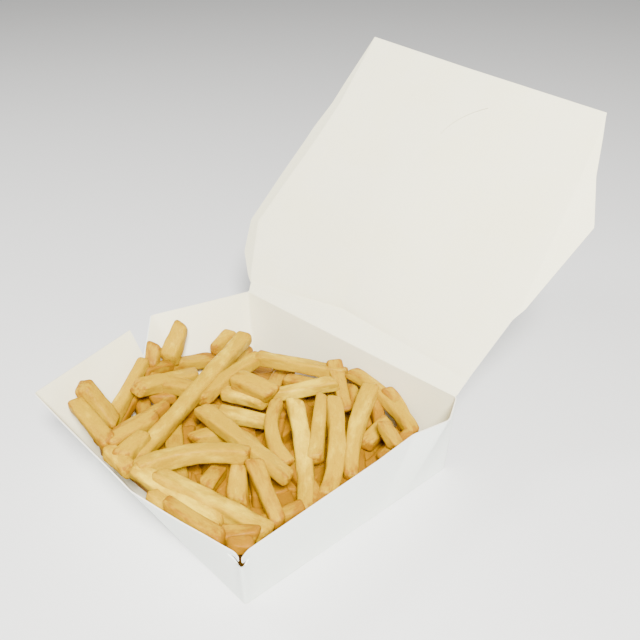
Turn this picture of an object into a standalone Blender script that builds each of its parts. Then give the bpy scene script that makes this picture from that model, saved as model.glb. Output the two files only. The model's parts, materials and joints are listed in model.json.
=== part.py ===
"""French fries in an open takeaway carton of folded white board.

Run with blender --background --python part.py, or from the text editor. Sizes are
in millimetres and become metres when a mesh is made. While it is worked out, the
model is measured from the left end of the hinge: +X runs along the hinge to the
right, +Y to the back and +Z up from the table. At the end every piece moves so that
the origin lies under the middle of the whole.
"""
import math

import bmesh
import bpy
import numpy as np
from mathutils import Matrix, Vector

MM = 0.001

# Tray: four flared walls of folded board on a flat floor.
BOARD = 0.6
RIM_HEIGHT = 45.0
RIM_REAR_LEFT = (0.0, 0.0)
RIM_REAR_RIGHT = (150.0, 0.0)
RIM_FRONT_RIGHT = (150.5, -139.0)
RIM_FRONT_LEFT = (0.0, -139.0)
FLOOR_REAR_LEFT = (10.0, -7.0)
FLOOR_REAR_RIGHT = (148.8, -0.8)
FLOOR_FRONT_RIGHT = (138.0, -128.0)
FLOOR_FRONT_LEFT = (12.0, -119.8)
FRONT_BOW = (
    (0.0, 0.0), (0.19, 2.3), (0.37, 4.2), (0.49, 5.4), (0.6, 6.8), (0.72, 4.7), (0.79, 3.2),
    (0.87, 1.0), (0.93, -0.4), (0.97, -1.6), (1.0, 0.0),
)
LEFT_BOW = ((0.0, 0.0), (0.40, 19.0), (1.0, 0.0))
RIGHT_BOW = ((0.0, 0.0), (0.04, -1.8), (0.2, -0.6), (0.56, 2.0), (0.74, 2.4), (0.88, 8.0), (1.0, 0.0))
RIGHT_FOLD_FOOT = 0.745
CORNER_DIP = 0.4
CORNER_DIP_SHARE = 0.06
WALL_ROWS = 5
SIDE_POINTS = 13

# Gap in the left wall, where the board of the side and of the corner part: its two
# ends at the rim and its foot, as distances to the back and up.
GAP_CORNERS = ((-73.7, 47.0), (-72.3, 31.0), (-55.0, 47.0))
GAP_PLACE = -24.0
GAP_REACH = 24.0

# Lid: a narrow strip between two creases, a bowed panel and two side flaps.
HINGE_OUT = 0.4
HINGE_UP = 0.4
STRIP_START = 0.7
STRIP_RISE = math.radians(30.0)
PANEL_RISE = math.radians(48.0)
STRIP_WIDTHS = (5.5, 15.5, 9.0)
STRIP_STATIONS = (0.0, 0.45, 1.0)
LID_LEFT = (
    (0.0, 0.5), (9.0, -5.6), (41.0, -20.8), (71.0, -15.2), (100.0, -9.7), (126.0, -6.2), (173.0, -6.2),
)
LID_RIGHT = ((0.0, 149.5), (9.0, 149.2), (52.0, 157.2), (101.0, 154.6), (144.0, 152.0), (158.0, 149.6))
LID_LENGTH_LEFT = 172.0
LID_LENGTH_RIGHT = 157.0
LEFT_FLAP = ((4.0, 0.0), (21.0, 11.5), (43.0, 8.5), (75.0, 10.0), (108.0, 10.5), (140.0, 6.0), (171.0, 0.5))
RIGHT_FLAP = ((45.0, 0.0), (101.0, 16.0), (125.0, 7.0), (144.0, 2.4), (156.0, 0.5))
LEFT_FLAP_BACK = math.radians(15.0)
RIGHT_FLAP_BACK = math.radians(8.0)
RIDGE_HEIGHT = 3.0
RIDGE_SPREAD = 34.0
RIDGE_START = 58.0
RIDGE_END = 76.0
PANEL_ROWS = 18
PANEL_COLUMNS = 17

# View from which the main fries are laid out: a pixel of a square picture is one
# line of sight from the eye.
EYE = (310.7, -263.7, 273.0)
SIGHT = (-0.590, 0.618, -0.5225)
PICTURE_CENTRE = 320.0
PICTURE_FOCUS = 783.0

# Fries
FRY_SEED = 11
FILL_COUNT = 34
FILL_TRIES = 8
FILL_LOW = (14.0, -126.0)
FILL_HIGH = (136.0, -10.0)
FRY_WIDTH = 8.3
FRY_WIDTH_SPREAD = 0.7
FRY_LENGTH = 62.0
FRY_LENGTH_SPREAD = 15.0
FRY_SHORTEST = 34.0
FRY_LONGEST = 98.0
FRY_THINNEST = 6.8
FRY_THICKEST = 10.0
FILL_BOW = 3.0
FRY_EDGE = 1.3
FRY_SEGMENTS = 6
FRY_SINK = 2.0
LINE_POINTS = 31
LEAST_BOW = 0.5
BOW_STEP = 0.8
CLEAR_STEP = 0.5
STANDING_MARGIN = 0.56
STANDING_HEAD = 4.0
STANDING_TOP = 44.6
FIRST_GUESS = 28.0
SIGHT_STEPS = 10
FLOOR_LEVEL = 4.0
WALL_CLEARANCE = 1.4
HEAP_TOP = 37.0
FILL_TOP = 24.0
CORE_FOOT = 0.3
CORE_TOP = 7.5
CORE_SWELL = 3.0
CORE_REACH = (75.0, 68.0)
CORE_RIPPLE = 0.8
RIPPLE_WAVES = (9.0, 11.0)
CORE_CELLS = (22, 20, 3)
TRAY_MIDDLE = (75.0, -68.0)
GRID_LOW = (-30, -156)
GRID_SHAPE = (206, 172)

# Each main fry: the two ends as seen from the eye, the width, the sideways bow and how
# much higher the first end lies than the last, in millimetres. They are laid in this
# order, each on what lies below it.
MAIN_FRIES = (
    ((142, 400), (149, 426), 8.0, 0.0, 0.0),
    ((150, 399), (176, 396), 7.6, 0.0, 0.0),
    ((350, 380), (366, 426), 7.5, 0.0, 0.0),
    ((284, 379), (326, 388), 7.0, 0.0, 0.0),
    ((148, 381), (206, 392), 8.3, 0.0, 0.0),
    ((112, 434), (168, 399), 8.3, 0.0, 0.0),
    ((95, 448), (120, 471), 8.5, 0.0, 4.0),
    ((138, 497), (214, 538), 7.5, 0.0, 0.0),
    ((221, 542), (260, 540), 7.5, 0.0, 0.0),
    ((163, 503), (224, 541), 7.0, 0.0, 2.0),
    ((412, 437), (380, 461), 8.5, 0.0, 4.0),
    ((388, 422), (363, 446), 8.0, 0.0, 4.0),
    ((384, 390), (406, 426), 7.5, -2.0, 6.0),
    ((136, 389), (197, 375), 8.8, 0.0, 8.0),
    ((170, 363), (212, 357), 7.6, 0.0, 2.0),
    ((220, 392), (267, 403), 8.0, 0.0, 0.0),
    ((218, 412), (275, 424), 7.5, 0.0, 0.0),
    ((221, 469), (203, 490), 8.0, 0.0, 0.0),
    ((383, 424), (398, 449), 6.8, 0.0, 4.0),
    ((239, 462), (238, 506), 9.0, 0.0, 6.0),
    ((256, 356), (346, 374), 7.5, 0.0, 5.0),
    ((158, 413), (98, 446), 8.3, 0.0, 3.0),
    ((264, 355), (199, 402), 8.5, 2.0, 6.0),
    ((232, 333), (212, 350), 8.0, 0.0, 2.0),
    ((273, 395), (337, 383), 7.5, 0.0, -3.0),
    ((343, 356), (347, 412), 7.5, 0.0, 12.0),
    ((354, 369), (414, 434), 7.5, -13.0, 6.0),
    ((322, 396), (315, 462), 7.3, 0.0, 9.0),
    ((278, 401), (287, 466), 7.8, 5.0, 8.0),
    ((333, 400), (327, 500), 8.3, -3.0, 14.0),
    ((294, 401), (306, 515), 8.8, -2.0, 16.0),
    ((372, 387), (351, 479), 8.5, 3.0, 12.0),
    ((254, 462), (280, 526), 8.0, 0.0, 10.0),
    ((146, 432), (106, 462), 8.3, 0.0, 3.0),
    ((134, 354), (101, 443), 7.2, 2.0, 16.0),
    ((192, 441), (256, 453), 8.0, -9.0, 0.0),
    ((246, 336), (134, 462), 9.2, 0.0, 5.0),
    ((157, 476), (270, 534), 9.0, 0.0, 8.0),
    ((115, 474), (222, 526), 8.6, -4.0, 6.0),
    ((200, 408), (290, 480), 8.0, 0.0, 3.0),
    ((250, 455), (133, 471), 8.8, 6.0, 1.0),
    ((236, 379), (274, 396), 10.5, 0.0, 2.0),
)

# Fries that stand against the left wall: the top end and the foot as seen from the
# eye, the width and how high the foot lies.
STANDING_FRIES = (
    ((181, 317), (168, 362), 9.5, 24.0),
    ((152, 341), (151, 368), 7.2, 26.0),
    ((72, 377), (112, 424), 9.6, 22.0),
    ((70, 403), (84, 450), 8.8, 24.0),
)


def remove_scene_objects():
    for item in list(bpy.data.objects):
        bpy.data.objects.remove(item, do_unlink=True)


def new_collection(name):
    collection = bpy.data.collections.new(name)
    bpy.context.scene.collection.children.link(collection)
    return collection


def material(name, colour, roughness):
    finish = bpy.data.materials.new(name)
    finish.use_nodes = True
    shader = finish.node_tree.nodes["Principled BSDF"]
    shader.inputs["Base Color"].default_value = (*colour, 1.0)
    shader.inputs["Roughness"].default_value = roughness
    return finish


def object_from(bm, name, collection, finish=None):
    """A mesh object from a bmesh in millimetres."""
    bmesh.ops.scale(bm, vec=(MM, MM, MM), verts=bm.verts)
    mesh = bpy.data.meshes.new(name)
    bm.to_mesh(mesh)
    bm.free()
    item = bpy.data.objects.new(name, mesh)
    collection.objects.link(item)
    if finish is not None:
        mesh.materials.append(finish)
    return item


def side_table():
    """The four walls in order, front, right, back and left.

    Each has the ends of its rim, the ends of its floor line, the rim's outward bow, and the
    shares along the floor line that stand below shares along the rim.
    """
    straight = ((0.0, 0.0), (1.0, 0.0))
    below = ((0.0, 0.0), (1.0, 1.0))
    return (
        (RIM_FRONT_LEFT, RIM_FRONT_RIGHT, FLOOR_FRONT_LEFT, FLOOR_FRONT_RIGHT, FRONT_BOW, below),
        (RIM_FRONT_RIGHT, RIM_REAR_RIGHT, FLOOR_FRONT_RIGHT, FLOOR_REAR_RIGHT, RIGHT_BOW,
         ((0.0, 0.0), (RIGHT_BOW[-2][0], RIGHT_FOLD_FOOT), (1.0, 1.0))),
        (RIM_REAR_RIGHT, RIM_REAR_LEFT, FLOOR_REAR_RIGHT, FLOOR_REAR_LEFT, straight, below),
        (RIM_REAR_LEFT, RIM_FRONT_LEFT, FLOOR_REAR_LEFT, FLOOR_FRONT_LEFT, LEFT_BOW, below),
    )


def bow_at(share, knots):
    shares, bows = zip(*knots)
    return np.interp(share, shares, bows)


def outward(start, end):
    """The unit normal that points out of the tray, for a side walked counter-clockwise."""
    run = np.subtract(end, start)
    return np.array([run[1], -run[0]]) / np.linalg.norm(run)


def wall_outlines():
    """Matching points of the rim and the floor, counter-clockwise, with the height of each rim point."""
    rim, floor, heights = [], [], []
    for number, (rim_start, rim_end, floor_start, floor_end, bow, below) in enumerate(side_table()):
        turns = [knot[0] for knot in bow + below]
        normal = outward(rim_start, rim_end)
        for share in np.union1d(np.linspace(0.0, 1.0, SIDE_POINTS), turns)[:-1]:
            under = bow_at(share, below)
            above = np.multiply(rim_start, 1.0 - share) + np.multiply(rim_end, share)
            rim.append(above + normal * bow_at(share, bow))
            floor.append(np.multiply(floor_start, 1.0 - under) + np.multiply(floor_end, under))
            from_corner = 1.0 - share if number == 0 else share if number == 1 else 1.0
            heights.append(RIM_HEIGHT - CORNER_DIP * max(0.0, 1.0 - from_corner / CORNER_DIP_SHARE))
    return np.array(rim), np.array(floor), np.array(heights)


def outside(x, y, start, end):
    """How far a plan position lies outside a side's straight line."""
    normal = outward(start, end)
    return (x - start[0]) * normal[0] + (y - start[1]) * normal[1]


def wall_share(x, y, margin):
    """How far up the walls a plan position lies, 0 at the floor's edge and 1 at the rim.

    Each wall runs from its floor line to its rim curve, so the share is the distance
    outside the floor line over the whole run. The margin moves the walls inward.
    """
    share = np.zeros(np.shape(x))
    for rim_start, rim_end, floor_start, floor_end, bow, _ in side_table():
        run = np.subtract(rim_end, rim_start)
        along = ((x - rim_start[0]) * run[0] + (y - rim_start[1]) * run[1]) / np.dot(run, run)
        outside_floor = outside(x, y, floor_start, floor_end) + margin
        outside_rim = outside(x, y, rim_start, rim_end) - bow_at(along, bow) + margin
        share = np.maximum(share, outside_floor / np.maximum(outside_floor - outside_rim, 1.0))
    return share


def build_tray(collection, cutters, finish):
    """Walls lofted from the floor's outline to the rim, given the board's thickness, less the gap."""
    rim, floor, heights = wall_outlines()
    bm = bmesh.new()
    rows = []
    for share in np.linspace(0.0, 1.0, WALL_ROWS):
        points = floor * (1.0 - share) + rim * share
        rows.append([bm.verts.new((*point, share * height)) for point, height in zip(points, heights)])
    count = len(rim)
    for low, high in zip(rows[:-1], rows[1:]):
        for index in range(count):
            after = (index + 1) % count
            bm.faces.new((low[index], low[after], high[after], high[index]))
    bm.faces.new(rows[0][::-1])
    tray = object_from(bm, "carton_tray", collection, finish)
    wall = tray.modifiers.new("board", "SOLIDIFY")
    wall.thickness = BOARD * MM
    wall.offset = -1.0
    wall.use_even_offset = True
    gap = tray.modifiers.new("gap", "BOOLEAN")
    gap.operation = "DIFFERENCE"
    gap.solver = "EXACT"
    gap.object = gap_cutter(cutters)
    return tray


def gap_cutter(cutters):
    """A three-sided wedge, point down, through the left wall."""
    bm = bmesh.new()
    face = bm.faces.new([bm.verts.new((GAP_PLACE, back, up)) for back, up in GAP_CORNERS])
    grown = bmesh.ops.extrude_face_region(bm, geom=[face])
    far_end = [item for item in grown["geom"] if isinstance(item, bmesh.types.BMVert)]
    bmesh.ops.translate(bm, vec=(GAP_REACH, 0.0, 0.0), verts=far_end)
    bm.normal_update()
    bmesh.ops.recalc_face_normals(bm, faces=bm.faces)
    cutter = object_from(bm, "gap_cutter", cutters)
    cutter.hide_render = True
    cutter.display_type = "WIRE"
    return cutter


def lid_point(across, along, crease):
    """A point of the strip or the panel, and the inward normal there."""
    rise = PANEL_RISE if along > crease else STRIP_RISE
    on_strip = min(along, crease)
    on_panel = max(along - crease, 0.0)
    y = HINGE_OUT + on_strip * math.cos(STRIP_RISE) + on_panel * math.cos(PANEL_RISE)
    z = RIM_HEIGHT + HINGE_UP + on_strip * math.sin(STRIP_RISE) + on_panel * math.sin(PANEL_RISE)
    normal = np.array([0.0, -math.sin(rise), math.cos(rise)])
    return np.array([across, y, z]), normal


def ridge_at(across, across_share, along, crease, length):
    """How far the panel bulges inward: a soft ridge that runs up it, and the curve of the crease
    fading out so that the far edge is straight."""
    share = (along - crease) / (length - crease)
    middle = RIDGE_START + (RIDGE_END - RIDGE_START) * share
    fade = math.sin(math.pi * min(max(share, 0.0), 1.0) ** 0.6)
    straight = STRIP_WIDTHS[0] + (STRIP_WIDTHS[-1] - STRIP_WIDTHS[0]) * across_share
    sag = (crease - straight) * math.sin(PANEL_RISE - STRIP_RISE)
    return RIDGE_HEIGHT * fade * math.exp(-((across - middle) / RIDGE_SPREAD) ** 2) + sag * share


def lid_row(along_share):
    """The points across the lid at one share of its length, from the left flap to the right one."""
    points = []
    for across_share in np.linspace(0.0, 1.0, PANEL_COLUMNS):
        crease = np.interp(across_share, STRIP_STATIONS, STRIP_WIDTHS)
        length = LID_LENGTH_LEFT + (LID_LENGTH_RIGHT - LID_LENGTH_LEFT) * across_share
        if along_share < 0.0:
            along = STRIP_START + (crease - STRIP_START) * (1.0 + along_share)
        else:
            along = crease + (length - crease) * along_share
        left = np.interp(along, *zip(*LID_LEFT))
        right = np.interp(along, *zip(*LID_RIGHT))
        across = left + (right - left) * across_share
        point, normal = lid_point(across, along, crease)
        if along_share > 0.0:
            point = point + normal * ridge_at(across, across_share, along, crease, length)
        points.append((point, normal, along))
    row = [point for point, _, _ in points]
    if along_share > 0.0:
        left_width = np.interp(points[0][2], *zip(*LEFT_FLAP))
        right_width = np.interp(points[-1][2], *zip(*RIGHT_FLAP))
        row.insert(0, flap_edge(points[0], -1.0, left_width, LEFT_FLAP_BACK))
        row.append(flap_edge(points[-1], 1.0, right_width, RIGHT_FLAP_BACK))
    else:
        row.insert(0, row[0])
        row.append(row[-1])
    return row


def flap_edge(fold, side, width, back):
    """The free edge of a side flap, turned back from the panel's plane about its fold."""
    point, normal, _ = fold
    return point + np.array([side * math.cos(back) * width, 0.0, 0.0]) - normal * math.sin(back) * width


def build_lid(collection, finish):
    """One grid for the strip, the panel and the flaps, given the board's thickness."""
    shares = [-1.0, -0.5] + list(np.linspace(0.0, 1.0, PANEL_ROWS + 1))
    bm = bmesh.new()
    rows = [[bm.verts.new(point) for point in lid_row(share)] for share in shares]
    for low, high in zip(rows[:-1], rows[1:]):
        for index in range(len(low) - 1):
            bm.faces.new((low[index], low[index + 1], high[index + 1], high[index]))
    bmesh.ops.remove_doubles(bm, verts=bm.verts, dist=0.05)
    bmesh.ops.dissolve_degenerate(bm, edges=bm.edges, dist=0.01)
    lid = object_from(bm, "carton_lid", collection, finish)
    wall = lid.modifiers.new("board", "SOLIDIFY")
    wall.thickness = BOARD * MM
    wall.offset = -1.0
    wall.use_even_offset = True
    return lid


def sight_line(pixel):
    """The direction from the eye through a pixel."""
    ahead = np.array(SIGHT) / np.linalg.norm(SIGHT)
    right = np.cross(ahead, (0.0, 0.0, 1.0))
    right = right / np.linalg.norm(right)
    up = np.cross(right, ahead)
    return (ahead * PICTURE_FOCUS + right * (pixel[0] - PICTURE_CENTRE) + up * (PICTURE_CENTRE - pixel[1]))


def at_height(pixel, height):
    """The plan position that a pixel shows at a height."""
    ray = sight_line(pixel)
    reach = (height - EYE[2]) / ray[2]
    return np.array([EYE[0] + ray[0] * reach, EYE[1] + ray[1] * reach])


def wall_height(x, y, margin):
    """The height of the walls' inner face over a plan position, moved inward by a margin."""
    return RIM_HEIGHT * np.minimum(wall_share(x, y, margin), 3.0)


def keep_clear(place, height, width):
    """A plan position moved towards the tray's middle until a fry at that height clears the walls."""
    margin = WALL_CLEARANCE + 0.5 * width
    while wall_height(*place, margin) > height - 0.5 * width:
        away = np.subtract(TRAY_MIDDLE, place)
        place = place + away / np.linalg.norm(away)
    return place


def clear_place(pixel, height, width):
    """The lowest place on a line of sight, from a height up, where a fry's end clears the walls."""
    margin = WALL_CLEARANCE + 0.5 * width
    highest = HEAP_TOP - 0.5 * width
    while height < highest and wall_height(*at_height(pixel, height), margin) > height - 0.5 * width:
        height = height + CLEAR_STEP
    return np.array([*keep_clear(at_height(pixel, height), height, width), height])


def inside(place, width):
    """A plan position kept over the tray's floor."""
    return keep_clear(place, FLOOR_LEVEL + 0.5 * width, width)


def sight_meets(pixel, margin, lowest):
    """Where a line of sight meets the wall behind, or comes down to the lowest height."""
    heights = np.linspace(RIM_HEIGHT, lowest, 240)
    places = np.array([at_height(pixel, height) for height in heights])
    blocked = heights < wall_height(places[:, 0], places[:, 1], margin)
    first = int(np.argmax(blocked)) if blocked.any() else len(heights) - 1
    return np.array([*places[first], heights[first]])


class Heap:
    """The height of what lies in the tray, on a grid of one millimetre, and the fries laid so far."""

    def __init__(self):
        x = GRID_LOW[0] + np.arange(GRID_SHAPE[0])
        y = GRID_LOW[1] + np.arange(GRID_SHAPE[1])
        self.x, self.y = np.meshgrid(x, y, indexing="ij")
        self.top = core_height(self.x, self.y)
        self.fries = []

    def support(self, x, y):
        """The higher of the heap's top and the walls' inner face."""
        column = np.clip(np.rint(x - GRID_LOW[0]).astype(int), 0, GRID_SHAPE[0] - 1)
        row = np.clip(np.rint(y - GRID_LOW[1]).astype(int), 0, GRID_SHAPE[1] - 1)
        return np.maximum(self.top[column, row], wall_height(x, y, WALL_CLEARANCE))

    def support_along(self, plan, width):
        """The highest support across a fry's width, at each point of its line."""
        offsets = np.linspace(-0.5, 0.5, 5) * width
        across = side_normals(plan)
        x = plan[:, 0, None] + across[:, 0, None] * offsets
        y = plan[:, 1, None] + across[:, 1, None] * offsets
        return self.support(x, y).max(axis=1)

    def rest(self, plan, width):
        """The underside of a straight fry that rests on both sides of its weight.

        It is the edge of the support's upper hull that spans the fry's middle.
        """
        share = np.linspace(0.0, 1.0, len(plan))
        support = self.support_along(plan, width)
        middle = len(share) // 2
        low, high = np.meshgrid(np.arange(middle), np.arange(middle + 1, len(share)), indexing="ij")
        slope = (support[high] - support[low]) / (share[high] - share[low])
        at_middle = support[low] + slope * (0.5 - share[low])
        best = np.unravel_index(np.argmax(at_middle), at_middle.shape)
        return at_middle[best] + slope[best] * (share - 0.5) - FRY_SINK

    def touch(self, plan, width, tilt):
        """The underside of a fry of a given tilt, lowered until it sinks a little into what it meets."""
        line = tilt * (0.5 - np.linspace(0.0, 1.0, len(plan)))
        lift = (self.support_along(plan, width) - line).max() - FRY_SINK
        return line + min(lift, HEAP_TOP - width - line.max())

    def keep(self, plan, under, width):
        """Adds a fry and raises the heap's top under it."""
        centre = np.column_stack([plan, under + width / 2.0])
        self.fries.append((centre, width))
        line = resample(centre, np.linspace(0.0, 1.0, 160))
        across = side_normals(line[:, :2])
        for offset in np.linspace(-0.5, 0.5, 11) * width:
            column = np.rint(line[:, 0] + across[:, 0] * offset - GRID_LOW[0]).astype(int)
            row = np.rint(line[:, 1] + across[:, 1] * offset - GRID_LOW[1]).astype(int)
            column = np.clip(column, 0, GRID_SHAPE[0] - 1)
            row = np.clip(row, 0, GRID_SHAPE[1] - 1)
            np.maximum.at(self.top, (column, row), line[:, 2] + width / 2.0)


def core_height(x, y):
    """The plain lump under the fries: highest in the middle, with soft unevenness."""
    across = np.clip((x - TRAY_MIDDLE[0]) / CORE_REACH[0], -1.0, 1.0)
    along = np.clip((y - TRAY_MIDDLE[1]) / CORE_REACH[1], -1.0, 1.0)
    swell = (1.0 - across ** 2) * (1.0 - along ** 2)
    ripple = CORE_RIPPLE * np.sin(x / RIPPLE_WAVES[0]) * np.cos(y / RIPPLE_WAVES[1])
    return CORE_TOP + CORE_SWELL * swell + ripple


def plan_line(start, end, bow):
    """A line from start to end that bows sideways as a parabola."""
    share = np.linspace(0.0, 1.0, LINE_POINTS)
    run = np.subtract(end, start)
    normal = np.array([run[1], -run[0]]) / max(np.linalg.norm(run), 1e-6)
    return (np.outer(1.0 - share, start) + np.outer(share, end)
            + np.outer(4.0 * bow * share * (1.0 - share), normal))


def side_normals(plan):
    run = np.gradient(plan, axis=0)
    run = run / np.maximum(np.linalg.norm(run, axis=1, keepdims=True), 1e-6)
    return np.column_stack([run[:, 1], -run[:, 0]])


def resample(line, share):
    """Points at even shares of a line's length."""
    steps = np.concatenate([[0.0], np.cumsum(np.linalg.norm(np.diff(line, axis=0), axis=1))])
    return np.column_stack([np.interp(share * steps[-1], steps, line[:, axis]) for axis in range(3)])


def clear_line(start, end, bow, height, width):
    """A bowed line whose bow is lessened until a fry at that height clears the walls."""
    margin = WALL_CLEARANCE + 0.5 * width
    plan = plan_line(start, end, bow)
    while abs(bow) > LEAST_BOW and wall_height(*plan.T, margin).max() > height - 0.5 * width:
        bow = bow * BOW_STEP
        plan = plan_line(start, end, bow)
    return plan


def lay_filling(heap, draw):
    """Fries at random turns, each over the lowest of a few random places, which fill the tray evenly."""
    for _ in range(FILL_COUNT):
        width = float(np.clip(draw.normal(FRY_WIDTH, FRY_WIDTH_SPREAD), FRY_THINNEST, FRY_THICKEST))
        length = float(np.clip(draw.normal(FRY_LENGTH, FRY_LENGTH_SPREAD), FRY_SHORTEST, FRY_LONGEST))
        turns = draw.uniform(0.0, math.pi, FILL_TRIES)
        middles = draw.uniform(FILL_LOW, FILL_HIGH, (FILL_TRIES, 2))
        bow = draw.normal(0.0, FILL_BOW)
        halves = 0.5 * length * np.column_stack([np.cos(turns), np.sin(turns)])
        plans = [plan_line(inside(middle - half, width), inside(middle + half, width), bow)
                 for middle, half in zip(middles, halves)]
        unders = [heap.rest(plan, width) for plan in plans]
        lowest = int(np.argmin([under.mean() for under in unders]))
        if unders[lowest].max() + width < FILL_TOP:
            heap.keep(plans[lowest], unders[lowest], width)


def lay_main(heap):
    """The main fries, each moved along its lines of sight until it rests where it is seen."""
    for first, last, width, bow, tilt in MAIN_FRIES:
        middle = FIRST_GUESS
        for _ in range(SIGHT_STEPS):
            start = clear_place(first, middle + 0.5 * tilt, width)
            end = clear_place(last, middle - 0.5 * tilt, width)
            plan = clear_line(start[:2], end[:2], bow, middle, width)
            under = heap.touch(plan, width, start[2] - end[2])
            middle = 0.5 * (middle + under.mean() + 0.5 * width)
        heap.keep(plan, under, width)


def lay_standing(heap):
    """Fries that lean on the wall, from a foot in the heap to a top against the board."""
    for top, foot, width, foot_height in STANDING_FRIES:
        stout = 2.0 * STANDING_MARGIN * width
        head = sight_meets(top, WALL_CLEARANCE + 0.5 * stout, foot_height)
        head[:2] = keep_clear(head[:2], head[2], stout)
        base = clear_place(foot, foot_height, stout)
        cut = max(0.0, (head[2] - STANDING_TOP + STANDING_HEAD) / (head[2] - foot_height))
        share = np.linspace(cut, 1.0, LINE_POINTS)
        heap.fries.append((np.outer(1.0 - share, head) + np.outer(share, base), width))


def lay_fries():
    heap = Heap()
    lay_filling(heap, np.random.default_rng(FRY_SEED))
    lay_standing(heap)
    lay_main(heap)
    return heap.fries


def frames_along(centre):
    """Unit vectors along, across and up at each point of a centre line."""
    along = np.gradient(centre, axis=0)
    along = along / np.linalg.norm(along, axis=1, keepdims=True)
    across = np.cross((0.0, 0.0, 1.0), along)
    steep = np.linalg.norm(across, axis=1, keepdims=True)
    across = np.where(steep > 0.05, across / np.maximum(steep, 1e-6), (1.0, 0.0, 0.0))
    return along, across, np.cross(along, across)


def fry_bar(centre, width):
    """A bevelled bar of square section, bent along its centre line."""
    bm = bmesh.new()
    bmesh.ops.create_cube(bm, size=1.0)
    bmesh.ops.scale(bm, vec=(1.0, width, width), verts=bm.verts)
    long_edges = [edge for edge in bm.edges if abs(edge.verts[0].co.x - edge.verts[1].co.x) > 0.5]
    bmesh.ops.bevel(bm, geom=long_edges, offset=FRY_EDGE, segments=1, affect="EDGES")
    for cut in np.linspace(-0.5, 0.5, FRY_SEGMENTS + 1)[1:-1]:
        geometry = bm.verts[:] + bm.edges[:] + bm.faces[:]
        bmesh.ops.bisect_plane(bm, geom=geometry, plane_co=(cut, 0.0, 0.0), plane_no=(1.0, 0.0, 0.0))
    line = resample(centre, np.linspace(0.0, 1.0, FRY_SEGMENTS + 1))
    along, across, up = frames_along(line)
    for vert in bm.verts:
        station = int(round((vert.co.x + 0.5) * FRY_SEGMENTS))
        vert.co = Vector(line[station] + across[station] * vert.co.y + up[station] * vert.co.z)
    return bm


def build_core(collection):
    """The lump under the fries: a block whose foot and sides follow the tray with a gap."""
    bm = bmesh.new()
    bmesh.ops.create_cube(bm, size=1.0)
    for axis, count in enumerate(CORE_CELLS):
        normal = [0.0, 0.0, 0.0]
        normal[axis] = 1.0
        for cut in np.linspace(-0.5, 0.5, count + 1)[1:-1]:
            geometry = bm.verts[:] + bm.edges[:] + bm.faces[:]
            place = [value * cut for value in normal]
            bmesh.ops.bisect_plane(bm, geom=geometry, plane_co=place, plane_no=normal)
    margin = BOARD + 1.0
    left, right = FLOOR_FRONT_LEFT[0] + margin, FLOOR_FRONT_RIGHT[0] - margin
    front, back = FLOOR_FRONT_LEFT[1] + margin, FLOOR_REAR_LEFT[1] - margin
    for vert in bm.verts:
        x = left + (right - left) * (vert.co.x + 0.5)
        y = front + (back - front) * (vert.co.y + 0.5)
        top = float(core_height(x, y))
        foot = BOARD + CORE_FOOT
        vert.co = Vector((x, y, foot + (top - foot) * (vert.co.z + 0.5)))
    return object_from(bm, "fries", collection)


def keep_largest_shell(mesh):
    """Drops loose scraps and fills sealed hollows, both of which are shells of their own."""
    bm = bmesh.new()
    bm.from_mesh(mesh)
    bm.verts.ensure_lookup_table()
    unseen = set(bm.verts)
    shells = []
    while unseen:
        stack = [unseen.pop()]
        shell = []
        while stack:
            vert = stack.pop()
            shell.append(vert)
            for edge in vert.link_edges:
                other = edge.other_vert(vert)
                if other in unseen:
                    unseen.remove(other)
                    stack.append(other)
        shells.append(shell)
    shells.sort(key=len, reverse=True)
    for shell in shells[1:]:
        bmesh.ops.delete(bm, geom=shell, context="VERTS")
    bmesh.ops.triangulate(bm, faces=bm.faces)
    bm.to_mesh(mesh)
    bm.free()


def build_fries(collection, finish):
    """The lump with every fry joined to it, as one closed body."""
    bars = new_collection("fry bars")
    for number, (centre, width) in enumerate(lay_fries()):
        object_from(fry_bar(centre, width), f"fry_bar_{number}", bars)
    heap = build_core(collection)
    heap.data.materials.append(finish)
    join = heap.modifiers.new("bars", "BOOLEAN")
    join.operation = "UNION"
    join.operand_type = "COLLECTION"
    join.collection = bars
    join.solver = "MANIFOLD"
    view = bpy.context.evaluated_depsgraph_get()
    joined = bpy.data.meshes.new_from_object(heap.evaluated_get(view))
    heap.modifiers.clear()
    heap.data = joined
    keep_largest_shell(joined)
    for bar in list(bars.objects):
        bpy.data.objects.remove(bar, do_unlink=True)
    bpy.data.collections.remove(bars)
    return heap


def centre_on_origin(pieces, helpers):
    """Moves everything so that the whole's box stands on the origin."""
    view = bpy.context.evaluated_depsgraph_get()
    corners = []
    for piece in pieces:
        shape = piece.evaluated_get(view).to_mesh()
        corners.append([min(vert.co[axis] for vert in shape.vertices) for axis in range(3)])
        corners.append([max(vert.co[axis] for vert in shape.vertices) for axis in range(3)])
    low = np.min(corners, axis=0)
    high = np.max(corners, axis=0)
    shift = Matrix.Translation((-(low[0] + high[0]) / 2.0, -(low[1] + high[1]) / 2.0, -low[2]))
    for item in list(pieces) + list(helpers):
        item.data.transform(shift)
    return shift


def put_origin_on_hinge(lid, shift):
    """The lid's own origin goes to the middle of the hinge line."""
    middle = (RIM_REAR_LEFT[0] + RIM_REAR_RIGHT[0]) / 2.0
    hinge = shift @ (Vector((middle, HINGE_OUT, RIM_HEIGHT + HINGE_UP)) * MM)
    lid.data.transform(Matrix.Translation(-hinge))
    lid.location = hinge


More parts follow.
